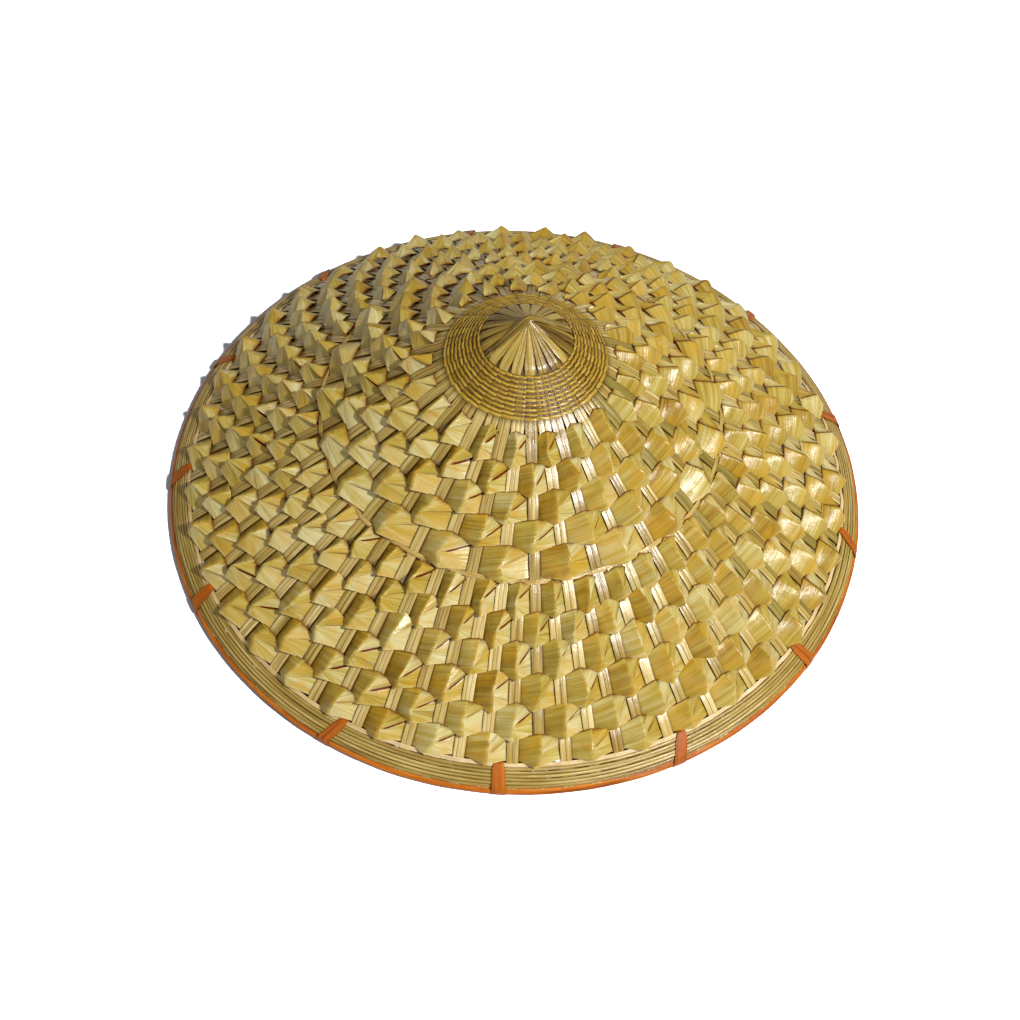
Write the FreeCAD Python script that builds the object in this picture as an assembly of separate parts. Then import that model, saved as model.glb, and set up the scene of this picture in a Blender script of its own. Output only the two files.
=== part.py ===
import FreeCAD, Part
import math
import os
import Mesh

# Conical hat woven from bamboo splints, with a head ring and a chin cord.
# Millimetres, +Z up. Origin: centre of the rim circle on the plane the hat stands on.
# Azimuths are in degrees, measured from the front (-Y) towards +X.
# "Height" h on the weave is measured square to the cone, from the middle of the splint layer.
os.makedirs("parts", exist_ok=True)
Vector = FreeCAD.Vector
ORIGIN = Vector(0, 0, 0)
UP = Vector(0, 0, 1)

# ---------------------------------------------------------------- driving dimensions
rim_radius = 210.0            # 42 cm across the rim
edge_height = 4.0             # height of the splint layer at the outermost edge above the table
slope_tan = 0.705             # rise of the cone per unit of radius

main_splints = 21             # long splints, each running rim - peak - rim
arm_count = 2 * main_splints
arm_pitch = 360.0 / arm_count
first_azimuth = 6.63          # first arm
top_pair_index = 13           # the long splint that is split in two and laid last, over the peak
splint_width = 5.8
splint_thickness = 0.5
crown_thickness = 0.25        # the same splints shaved thin where they cross at the peak
splint_end_radius = 208.6     # the arms end inside the rim binding
added_start_radius = 115.8    # a second set of splints is tucked in here
top_of_weave = 0.42           # h at which the binder and the rim strips lie

ring_radius = 92.0            # inside of the head ring: a 58 cm head
ring_bottom = 56.0
ring_top = 79.5
ring_thickness = 1.4
ring_outer_radius = ring_radius + ring_thickness

slope_angle = math.atan(slope_tan)
cos_slope = math.cos(slope_angle)
sin_slope = math.sin(slope_angle)


# ---------------------------------------------------------------- places on the cone
def outward(azimuth):
    angle = math.radians(azimuth)
    return Vector(math.sin(angle), -math.cos(angle), 0)


def sideways(azimuth):
    """Level direction of growing azimuth."""
    angle = math.radians(azimuth)
    return Vector(math.cos(angle), math.sin(angle), 0)


def at_azimuth(azimuth, radius, side, z):
    return outward(azimuth) * radius + sideways(azimuth) * side + UP * z


def cone_z(radius):
    return edge_height + (rim_radius - radius) * slope_tan


def cone_rz(radius, h):
    """(radius, z) of the point h out of the cone."""
    return radius + h * sin_slope, cone_z(radius) + h * cos_slope


def on_cone(azimuth, radius, h=0.0, side=0.0):
    out_radius, z = cone_rz(radius, h)
    return at_azimuth(azimuth, out_radius, side, z)


# ---------------------------------------------------------------- shape helpers
def save(name, solids):
    shape = solids[0] if len(solids) == 1 else Part.makeCompound(solids)
    shape.exportStep("parts/" + name + ".step")


def polygon_face(points):
    return Part.Face(Part.makePolygon(points + [points[0]]))


def revolved(outline):
    """A ring from a closed (radius, z) outline."""
    face = polygon_face([Vector(radius, 0, z) for radius, z in outline])
    return face.revolve(ORIGIN, UP, 360).Solids[0]


def cone_ring(inner, outer, h_low, h_high):
    """A flat strip lying round the cone."""
    corners = ((inner, h_low), (outer, h_low), (outer, h_high), (inner, h_high))
    return revolved([cone_rz(radius, h) for radius, h in corners])


def quad(a, b, c, d):
    """Two triangles that share the diagonal a - c."""
    return [(a, b, c), (a, c, d)]


def solid_from_triangles(triangles):
    mesh = Mesh.Mesh([[tuple(point) for point in triangle] for triangle in triangles])
    shape = Part.Shape()
    shape.makeShapeFromMesh(mesh.Topology, 1e-5)
    solid = Part.makeSolid(shape.Shells[0])
    if solid.Volume < 0:
        solid.reverse()
    # Merging coplanar triangles can fail; the triangulated solid is then used as it is.
    try:
        solid = solid.removeSplitter()
    except Exception:
        pass
    return solid.Solids[0]


def skinned(sections, closed=True):
    """A solid through four-cornered sections, joined end to end or capped at both ends."""
    triangles = []
    following = sections[1:] + sections[:1] if closed else sections[1:]
    for here, there in zip(sections, following):
        for k in range(4):
            m = (k + 1) % 4
            triangles += quad(here[k], here[m], there[m], there[k])
    if not closed:
        triangles += quad(*sections[0][::-1]) + quad(*sections[-1])
    return solid_from_triangles(triangles)


def cord_loop(points, radius):
    """Round cord along a closed polygon, with balls at the corners."""
    solid = None
    for start, end in zip(points, points[1:] + points[:1]):
        run = end - start
        bar = Part.makeCylinder(radius, run.Length, start, run)
        solid = bar if solid is None else solid.fuse(bar)
    for point in points:
        solid = solid.fuse(Part.makeSphere(radius, point))
    return solid.Solids[0]


# ---------------------------------------------------------------- long splints over the peak
peak_step = 0.42              # how much higher each splint lies on the stack at the peak
peak_flat = 1.0               # half length of the level stretch at the peak
top_peak_z = cone_z(0) + 0.3
pair_gap = 0.3                # between the two halves of the top splint
lower_lift = -0.1             # h of each layer just inside the twined collar
upper_lift = 0.7
pair_lift = 1.4
first_row_width = 5.2         # width of an arm below the first weft row

# (radius, full width) of an arm; both layers share the outer part
outer_widths = [(25.3, 2.1), (45.8, 3.9), (47.2, first_row_width), (52, first_row_width),
                (60, splint_width), (splint_end_radius, splint_width)]
upper_widths = [(0, 1.3), (4.8, 1.3), (23.5, 6.2)] + outer_widths
lower_widths = [(0, 1.3), (9.0, 1.3), (23.5, 2.6)] + outer_widths
# (radius, distance of the outer edge from the centreline) of either half of the top splint
pair_edges = [(0, 1.0), (9.0, 1.0), (23.5, 1.55), (25.3, 1.1), (45.8, 1.9),
              (47.2, first_row_width / 2), (60, splint_width / 2),
              (splint_end_radius, splint_width / 2)]


def long_splint(azimuth, lift, peak_z, edges):
    """One splint from rim to rim; edges holds (radius, one edge, other edge)."""
    # (radius, h, thickness) from the peak to the rim
    stations = [(22.0, lift, crown_thickness), (23.5, lift, crown_thickness),
                (26.2, 0.0, crown_thickness), (47.0, 0.0, splint_thickness),
                (splint_end_radius, 0.0, splint_thickness)]
    arm = [(peak_flat, peak_z, crown_thickness)]
    arm += [(radius, cone_z(radius) + h / cos_slope, thick) for radius, h, thick in stations]
    run = [(-x, z, thick) for x, z, thick in reversed(arm)] + arm
    blank_half = 10.0         # wider than any splint
    top = [Vector(x, -blank_half, z + thick / 2 / cos_slope) for x, z, thick in run]
    bottom = [Vector(x, -blank_half, z - thick / 2 / cos_slope) for x, z, thick in run]
    blank = polygon_face(top + bottom[::-1]).extrude(Vector(0, 2 * blank_half, 0))

    plan = [(-x, one, other) for x, one, other in reversed(edges)] + edges[1:]
    loop = [Vector(x, one, 0) for x, one, other in plan]
    loop += [Vector(x, other, 0) for x, one, other in reversed(plan)]
    splint = blank.common(polygon_face(loop).extrude(UP * 400)).Solids[0]
    # The splint is built along +X, which is azimuth 90.
    splint.rotate(ORIGIN, UP, azimuth - 90.0)
    return splint


def splint_layer(first, lift, stack_start, widths):
    """Every second long splint, counted on from the top pair."""
    edges = [(radius, width / 2, -width / 2) for radius, width in widths]
    stack_base = top_peak_z - peak_step * (main_splints - 1)
    splints = []
    for n, k in enumerate(range(first, main_splints, 2)):
        azimuth = first_azimuth + arm_pitch * (top_pair_index + k)
        splints.append(long_splint(azimuth, lift, stack_base + peak_step * (stack_start + n),
                                   edges))
    return splints


def peak_pair():
    azimuth = first_azimuth + arm_pitch * top_pair_index
    halves = []
    for side in (-1, 1):
        edges = [(radius, side * edge, side * pair_gap / 2) for radius, edge in pair_edges]
        halves.append(long_splint(azimuth, pair_lift, top_peak_z, edges))
    return halves


lower_layer = splint_layer(1, lower_lift, 0, lower_widths)
save("long_splints_lower", lower_layer)
save("long_splints_upper", splint_layer(2, upper_lift, len(lower_layer), upper_widths))
save("peak_splint_pair", peak_pair())


# ---------------------------------------------------------------- added splints
def added_splint(azimuth):
    """A straight splint midway between two arms."""
    half_width, half_thick = splint_width / 2, splint_thickness / 2
    corners = ((-half_width, -half_thick), (half_width, -half_thick),
               (half_width, half_thick), (-half_width, half_thick))
    ends = [[on_cone(azimuth, radius, h, side) for side, h in corners]
            for radius in (added_start_radius, splint_end_radius)]
    return skinned(ends, closed=False)


save("added_splints", [added_splint(first_azimuth + arm_pitch * (i + 0.5))
                       for i in range(arm_count)])


# ---------------------------------------------------------------- twined collar
twining_rounds = 10
twining_first = 26.6          # radius of the innermost round
twining_pitch = 2.04
twining_half_width = 0.78
twining_half_thickness = 0.17
twining_swing = 1.15          # h above or below an arm


def twining_round(number):
    """A fine splint that goes over and under alternate arms."""
    radius = twining_first + twining_pitch * number
    reach = twining_half_width * cos_slope
    sections = []
    for i in range(arm_count):
        azimuth = first_azimuth + arm_pitch * i
        h = twining_swing if (i + number) % 2 else -twining_swing
        low, high = h - twining_half_thickness, h + twining_half_thickness
        corners = ((-reach, low), (reach, low), (reach, high), (-reach, high))
        sections.append([on_cone(azimuth, radius + dr, level) for dr, level in corners])
    return skinned(sections)


save("crown_twining_rounds", [twining_round(number) for number in range(twining_rounds)])


# ---------------------------------------------------------------- folded weft rows
weft_thickness = 0.4
weft_under = -0.45            # h of the weft's outer face where it runs below a splint
weft_clearance = 0.35         # the low part runs this far past each side of the splint
fold_tip = 8.2                # h of the folded points
fold_edge_rim = 4.2           # h of the fold's edge on the rim side
fold_edge_peak = 4.9          # h of the fold's edge on the peak side
fold_at = 0.55                # where along a float the fold stands
tip_shift = 0.12              # tip's shift towards the rim, as a share of the row's depth
row_gap = 0.2                 # trimmed off each side of a row
# Radii between rows, inside and outside the start of the added splints
inner_row_limits = [51.6, 65.0, 77.7, 89.8, 102.0, 115.2]
outer_row_limits = [117.8, 131.0, 144.0, 158.0, 172.0, 185.0, 196.0]


def strip(near, far):
    """Triangles between two stations of two or three points, rim side first."""
    if len(near) == 3:
        return [(near[0], far[0], near[1]), (near[1], far[0], far[1]),
                (near[1], far[1], near[2])]
    triangles = quad(near[0], far[0], far[1], near[1])
    if len(far) == 3:
        triangles.append((near[1], far[1], far[2]))
    return triangles


def folded_row(r_in, r_out, count, first_visible, visible_width):
    """A ring of splint that dips below every visible arm and folds up to a point between them."""
    step = 360.0 / count
    half_low = visible_width / 2 + weft_clearance
    r_tip = (r_in + r_out) / 2 + tip_shift * (r_out - r_in)
    outer, inner = [], []

    def add_station(points, normal_azimuth):
        normal = outward(normal_azimuth) * sin_slope + UP * cos_slope
        outer.append(points)
        inner.append([point - normal * weft_thickness for point in points])

    for i in range(count):
        arm = first_visible + step * i
        fold = arm + step * fold_at
        for side in (-half_low, half_low):
            add_station([on_cone(arm, r_out, weft_under, side),
                         on_cone(arm, r_in, weft_under, side)], arm)
        add_station([on_cone(fold, r_out, fold_edge_rim), on_cone(fold, r_tip, fold_tip),
                     on_cone(fold, r_in, fold_edge_peak)], arm + step / 2)

    triangles = []
    for i in range(len(outer)):
        j = (i + 1) % len(outer)
        triangles += strip(outer[i], outer[j])
        triangles += [(a, c, b) for a, b, c in strip(inner[i], inner[j])]
        triangles += quad(outer[i][0], inner[i][0], inner[j][0], outer[j][0])
        triangles += quad(outer[i][-1], outer[j][-1], inner[j][-1], inner[i][-1])
    return solid_from_triangles(triangles)


# Inner rows pass below every other arm, outer rows below every other splint of the full set.
row_number = 0
for limits, count in ((inner_row_limits, main_splints), (outer_row_limits, arm_count)):
    for i, (r_in, r_out) in enumerate(zip(limits, limits[1:])):
        row_number += 1
        first_visible = first_azimuth + (i % 2) * 180.0 / count
        visible_width = first_row_width if row_number == 1 else splint_width
        save("weft_row_%02d" % row_number,
             [folded_row(r_in + row_gap, r_out - row_gap, count, first_visible, visible_width)])

# Thin splint that holds the tucked ends of the added splints
save("binder_splint", [cone_ring(115.5, 117.3, top_of_weave, 0.85)])

# ---------------------------------------------------------------- rim
band_inner = 198.9
band_outer = 208.4
band_count = 5
band_half_gap = 0.06
band_top = 1.75               # h of the top of the band
band_drop = 0.12              # every second band splint is this much thinner

hoop_inner = 203.6
hoop_outer = 209.25
hoop_clearance = 0.2          # below the splints

lashing_azimuths = [0.5, 28.5, 56.5, 79.5, 107.0, 135.0, 163.7,
                    192.0, 221.0, 249.5, 276.0, 300.7, 332.7]
lashing_half_width = 3.5
lashing_neck = 2.3            # half width where it passes between two splints
lashing_thickness = 0.55
lashing_inner_h = 1.85        # h of its inner face over the band
lashing_side = 209.4          # radius of its inner face outside the rim


def rim_band():
    width = (band_outer - band_inner) / band_count
    return [cone_ring(band_inner + width * i + band_half_gap,
                      band_inner + width * (i + 1) - band_half_gap,
                      top_of_weave, band_top - band_drop * (i % 2))
            for i in range(band_count)]


def rim_lower_hoop():
    def top(radius):
        return cone_z(radius) - splint_thickness / 2 / cos_slope - hoop_clearance

    # (radius, z)
    return revolved([(hoop_inner, 0.65), (208.6, 0.65), (hoop_outer, 1.3),
                     (hoop_outer, top(hoop_outer)), (hoop_inner, top(hoop_inner)),
                     (203.0, 6.2), (203.0, 1.3)])


def rim_lashing(azimuth):
    """A flat loop round the rim, through the nearest gap between an arm and an added splint."""
    gap_pitch = arm_pitch / 2
    first_gap = first_azimuth + gap_pitch / 2
    gap = first_gap + round((azimuth - first_gap) / gap_pitch) * gap_pitch
    thick = lashing_thickness
    outer_h = lashing_inner_h + thick
    # inner face (radius, z), outer face (radius, z), azimuth, half width
    stations = [
        (cone_rz(196.95, lashing_inner_h), cone_rz(196.35, outer_h), gap, lashing_neck),
        (cone_rz(208.7, lashing_inner_h), cone_rz(208.7, outer_h), azimuth, lashing_half_width),
        ((lashing_side, 4.4), (lashing_side + thick, 4.6), azimuth, lashing_half_width),
        ((lashing_side, thick), (lashing_side + thick, 0.0), azimuth, lashing_half_width),
        ((202.8, thick), (202.5, 0.0), (azimuth + gap) / 2, 2.8),
        (cone_rz(196.95, -0.85), cone_rz(196.35, -1.0), gap, lashing_neck),
    ]
    sections = []
    for (r_in, z_in), (r_out, z_out), turn, half in stations:
        sections.append([at_azimuth(turn, r_in, -half, z_in), at_azimuth(turn, r_in, half, z_in),
                         at_azimuth(turn, r_out, half, z_out),
                         at_azimuth(turn, r_out, -half, z_out)])
    return skinned(sections)


save("rim_filler_strip", [cone_ring(197.5, 198.7, top_of_weave, 1.0)])
save("rim_band_splints", rim_band())
save("rim_lower_hoop", [rim_lower_hoop()])
save("rim_lashings", [rim_lashing(azimuth) for azimuth in lashing_azimuths])

# ---------------------------------------------------------------- head ring
tie_count = 7
tie_azimuths = [first_azimuth + 360.0 / tie_count * k for k in range(tie_count)]
tie_half = 4.3                # half the distance between a tie's two holes
tie_z = 74.5
tie_radius = 0.5
tie_hole_radius = 0.75
ring_hoop_radius = 1.7        # of the round hoop outside the band
ring_hoop_centre = ring_outer_radius + 2.05
ring_hoop_z = 58.0
stirrup_top = 61.2
stirrup_radius = 0.9
stirrup_hole_radius = 1.1
cord_axis_z = 52.0            # height of the line the chin cord swings about


def head_ring_band():
    height = ring_top - ring_bottom
    band = Part.makeCylinder(ring_outer_radius, height, UP * ring_bottom).cut(
        Part.makeCylinder(ring_radius, height + 2, UP * (ring_bottom - 1)))
    drill_start, drill_length = ring_radius - 5, 12
    for azimuth in tie_azimuths:
        for side in (-tie_half, tie_half):
            start = at_azimuth(azimuth, drill_start, side, tie_z)
            band = band.cut(Part.makeCylinder(tie_hole_radius, drill_length, start,
                                              outward(azimuth)))
    for side in (-1, 1):
        start = Vector(side * drill_start, 0, stirrup_top)
        band = band.cut(Part.makeCylinder(stirrup_hole_radius, drill_length, start,
                                          Vector(side, 0, 0)))
    return band.Solids[0]


def head_ring_tie(azimuth):
    """Cord that goes through the band, up and over one arm below a float."""
    r_in = ring_radius - 0.9
    r_out = ring_outer_radius + 1.2
    z_top = cone_z(r_out) + 1.0 / cos_slope
    # (radius, z) from inside the band to above the arm
    path = [(r_in, tie_z), (r_out, tie_z), (r_out, z_top)]
    points = [at_azimuth(azimuth, radius, -tie_half, z) for radius, z in path]
    points += [at_azimuth(azimuth, radius, tie_half, z) for radius, z in reversed(path)]
    return cord_loop(points, tie_radius)


def chin_cord_stirrup(side):
    """Cord loop through the band; an eye of the chin cord rides on its lower bar."""
    x_in = side * (ring_radius - 1.6)
    x_out = side * (ring_hoop_centre + ring_hoop_radius + 1.4)
    return cord_loop([Vector(x_in, 0, stirrup_top), Vector(x_out, 0, stirrup_top),
                      Vector(x_out, 0, cord_axis_z), Vector(x_in, 0, cord_axis_z)],
                     stirrup_radius)


save("head_ring_band", [head_ring_band()])
save("head_ring_hoop", [Part.makeTorus(ring_hoop_centre, ring_hoop_radius, UP * ring_hoop_z)])
save("head_ring_ties", [head_ring_tie(azimuth) for azimuth in tie_azimuths])
save("chin_cord_stirrups", [chin_cord_stirrup(side) for side in (-1, 1)])

# ---------------------------------------------------------------- chin cord, bead and end knot
cord_radius = 1.3
cord_anchor_x = 95.0
cord_lie = math.radians(15.0)  # the stowed cord slopes this much below level, towards the back
cord_join = 120.0             # distance from the swing line to where the two legs meet
cord_end = 181.0
tail_x = cord_radius + 0.1    # the two tails lie side by side
eye_radius = 2.9
eye_width = 3.2
eye_bore_radius = 1.15
eye_bore_length = 6
leg_start = 2.4               # inside the eye
knot_radius = 4.3
knot_clearance = 0.05
bead_centre = 170.0           # distance from the swing line
bead_length = 12.0
bead_bore_radius = 3.05
# (radius, distance from the bead's end)
bead_outline = [(5.2, 0), (6.6, 3.0), (7.0, 6.0), (6.6, 9.0), (5.2, bead_length)]

cord_direction = Vector(0, math.cos(cord_lie), -math.sin(cord_lie))


def in_cord(x, distance):
    """A point in the plane of the cord, at a distance from the swing line."""
    return Vector(x, 0, cord_axis_z) + cord_direction * distance


knot_centre = in_cord(0, cord_end + 1.5)


def rod(start, end):
    return Part.makeCylinder(cord_radius, (end - start).Length, start, end - start)


def eye_cylinder(side, radius, length):
    start = in_cord(side * cord_anchor_x - length / 2, 0)
    return Part.makeCylinder(radius, length, start, Vector(1, 0, 0))


def cord_half(side):
    """Eye, leg and tail of one side."""
    bore = eye_cylinder(side, eye_bore_radius, eye_bore_length)
    eye = eye_cylinder(side, eye_radius, eye_width).cut(bore)
    join = in_cord(side * tail_x, cord_join)
    leg = rod(in_cord(side * cord_anchor_x, leg_start), join).cut(bore)
    tail = rod(join, in_cord(side * tail_x, cord_end))
    return eye.fuse([leg, Part.makeSphere(cord_radius, join), tail])


def chin_cord():
    cord = cord_half(-1).fuse(cord_half(1))
    knot_room = Part.makeSphere(knot_radius + knot_clearance, knot_centre)
    return [half.cut(knot_room).Solids[0] for half in cord.Solids]


def cord_bead():
    curve = Part.BSplineCurve()
    curve.interpolate([Vector(radius, 0, z) for radius, z in bead_outline])
    bore_start = Vector(bead_bore_radius, 0, 0)
    bore_end = Vector(bead_bore_radius, 0, bead_length)
    rim_start, rim_end = [Vector(radius, 0, z) for radius, z in
                          (bead_outline[0], bead_outline[-1])]
    wire = Part.Wire([Part.makeLine(bore_start, rim_start), curve.toShape(),
                      Part.makeLine(rim_end, bore_end), Part.makeLine(bore_end, bore_start)])
    bead = Part.Face(wire).revolve(ORIGIN, UP, 360).Solids[0]
    bead.Placement = FreeCAD.Placement(in_cord(0, bead_centre - bead_length / 2),
                                       FreeCAD.Rotation(UP, cord_direction))
    return bead


save("chin_cord", chin_cord())
save("cord_end_knot", [Part.makeSphere(knot_radius, knot_centre)])
save("cord_bead", [cord_bead()])
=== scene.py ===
"""A conical woven bamboo hat on a pale floor.

The hat's axis is Z and its rim rests on the floor at z = 0. Azimuth 0 faces -Y, towards the
camera, and grows towards +X. Lengths are millimetres until the meshes are made. The chin cord
hangs inside the cone and slopes down towards +Y.
"""

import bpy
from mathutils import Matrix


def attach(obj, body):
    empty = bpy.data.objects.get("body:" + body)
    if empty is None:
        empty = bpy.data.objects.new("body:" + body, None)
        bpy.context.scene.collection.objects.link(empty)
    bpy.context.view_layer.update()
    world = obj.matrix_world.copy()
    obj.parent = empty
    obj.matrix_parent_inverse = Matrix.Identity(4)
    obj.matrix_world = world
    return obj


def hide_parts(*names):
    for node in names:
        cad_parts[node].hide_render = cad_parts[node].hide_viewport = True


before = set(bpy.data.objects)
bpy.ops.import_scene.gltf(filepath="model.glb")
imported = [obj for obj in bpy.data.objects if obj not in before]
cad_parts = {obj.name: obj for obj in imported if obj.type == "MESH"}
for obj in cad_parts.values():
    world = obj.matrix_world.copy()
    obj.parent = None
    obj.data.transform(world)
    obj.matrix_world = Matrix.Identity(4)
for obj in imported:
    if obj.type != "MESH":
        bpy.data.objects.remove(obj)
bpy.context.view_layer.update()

import math
from functools import partialmethod

import bpy
import numpy as np
from mathutils import Matrix, Vector

MM = 0.001

# ------------------------------------------------------------------ the cone
RIM_RADIUS = 210.0
RIM_Z = 4.0
SLOPE = 0.705                 # rise per millimetre of plan radius
COS_SLOPE = math.cos(math.atan(SLOPE))
SIN_SLOPE = math.sin(math.atan(SLOPE))

# radial splints, called arms
FIRST = 6.63                  # azimuth of arm 0
ARMS = 42
PITCH = 360.0 / ARMS
ARM_WIDTH = 6.3
ARM_START = 25.6              # plan radii where the arms leave the peak and end at the rim
ARM_END = 208.6
ADDED_START = 115.8           # the added arms start here, halfway between the long ones
TOP_PAIR = 13                 # this arm and the one opposite run over the peak last

# twined collar
TWINE_FIRST = 26.6
TWINE_PITCH = 2.04
TWINE_ROUNDS = 10

# folded weft rows: inner and outer plan radius
ROWS = [
    (51.6, 65.0), (65.0, 77.7), (77.7, 89.8), (89.8, 102.0), (102.0, 115.2),
    (117.8, 131.0), (131.0, 144.0), (144.0, 158.0), (158.0, 172.0), (172.0, 185.0),
    (185.0, 196.4),
]
INNER_ROWS = 5                # these rows span two arm pitches per fold


def around(angle, radius, side, z):
    """Points at an angle in radians, a plan radius, a sideways step and a height."""
    x = np.sin(angle) * radius + np.cos(angle) * side
    y = -np.cos(angle) * radius + np.sin(angle) * side
    return np.stack(np.broadcast_arrays(x, y, z), -1)


def cone_z(radius):
    return RIM_Z + (RIM_RADIUS - radius) * SLOPE


def off_cone(radius, height):
    """Plan radius and z of a point at a height square off the cone."""
    return radius + height * SIN_SLOPE, cone_z(radius) + height * COS_SLOPE


def on_cone(azimuth, radius, height, side=0.0):
    """Points at an azimuth in degrees, standing off the cone."""
    return around(np.radians(azimuth), *off_cone(radius, height)[:1], side,
                  off_cone(radius, height)[1])


def smooth(x):
    x = np.clip(x, 0, 1)
    return x * x * (3 - 2 * x)


def mix(a, b, share):
    return a + (b - a) * share


def unit(vectors):
    length = np.linalg.norm(vectors, axis=-1, keepdims=True)
    return vectors / np.maximum(length, 1e-12)


def distances(path):
    """Length run along a path at each of its points."""
    return np.r_[0, np.cumsum(np.linalg.norm(np.diff(path, axis=0), axis=1))]


def full_turn(count):
    """Azimuths in degrees of evenly spaced stations round the hat."""
    return 360.0 * np.arange(count) / count


# ------------------------------------------------------------------ mesh building
def quad_net(rows, cols, close_rows, close_cols):
    """Corner indices of each cell in a net of rows x cols points."""
    row, col = np.meshgrid(np.arange(rows if close_rows else rows - 1),
                           np.arange(cols if close_cols else cols - 1), indexing="ij")
    row2, col2 = (row + 1) % rows, (col + 1) % cols
    corners = [row * cols + col, row2 * cols + col, row2 * cols + col2, row * cols + col2]
    return np.stack(corners, -1).reshape(-1, 4)


def turned_over(quads):
    return quads[:, [0, 3, 2, 1]]


def pairs(along, across):
    """UV pairs, in millimetres, for every point of a net."""
    return np.stack(np.broadcast_arrays(along, across), -1).reshape(-1, 2)


def carried_frame(path, up, closed):
    """Tangents, normals carried along the path, and the angle that closes them on themselves."""
    count = len(path)
    if closed:
        tangent = unit(np.roll(path, -1, 0) - np.roll(path, 1, 0))
    else:
        tangent = unit(np.gradient(path, axis=0))
    normal = np.zeros_like(path)
    up = np.asarray(up, float)
    normal[0] = unit(up - tangent[0] * (up @ tangent[0]))
    for k in range(1, count):
        normal[k] = unit(normal[k - 1] - tangent[k] * (normal[k - 1] @ tangent[k]))
    untwist = np.zeros(count)
    if closed:
        end = unit(normal[-1] - tangent[0] * (normal[-1] @ tangent[0]))
        twist = math.atan2(end @ np.cross(tangent[0], normal[0]), end @ normal[0])
        untwist = -twist * np.arange(count) / count
    return tangent, normal, untwist


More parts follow.
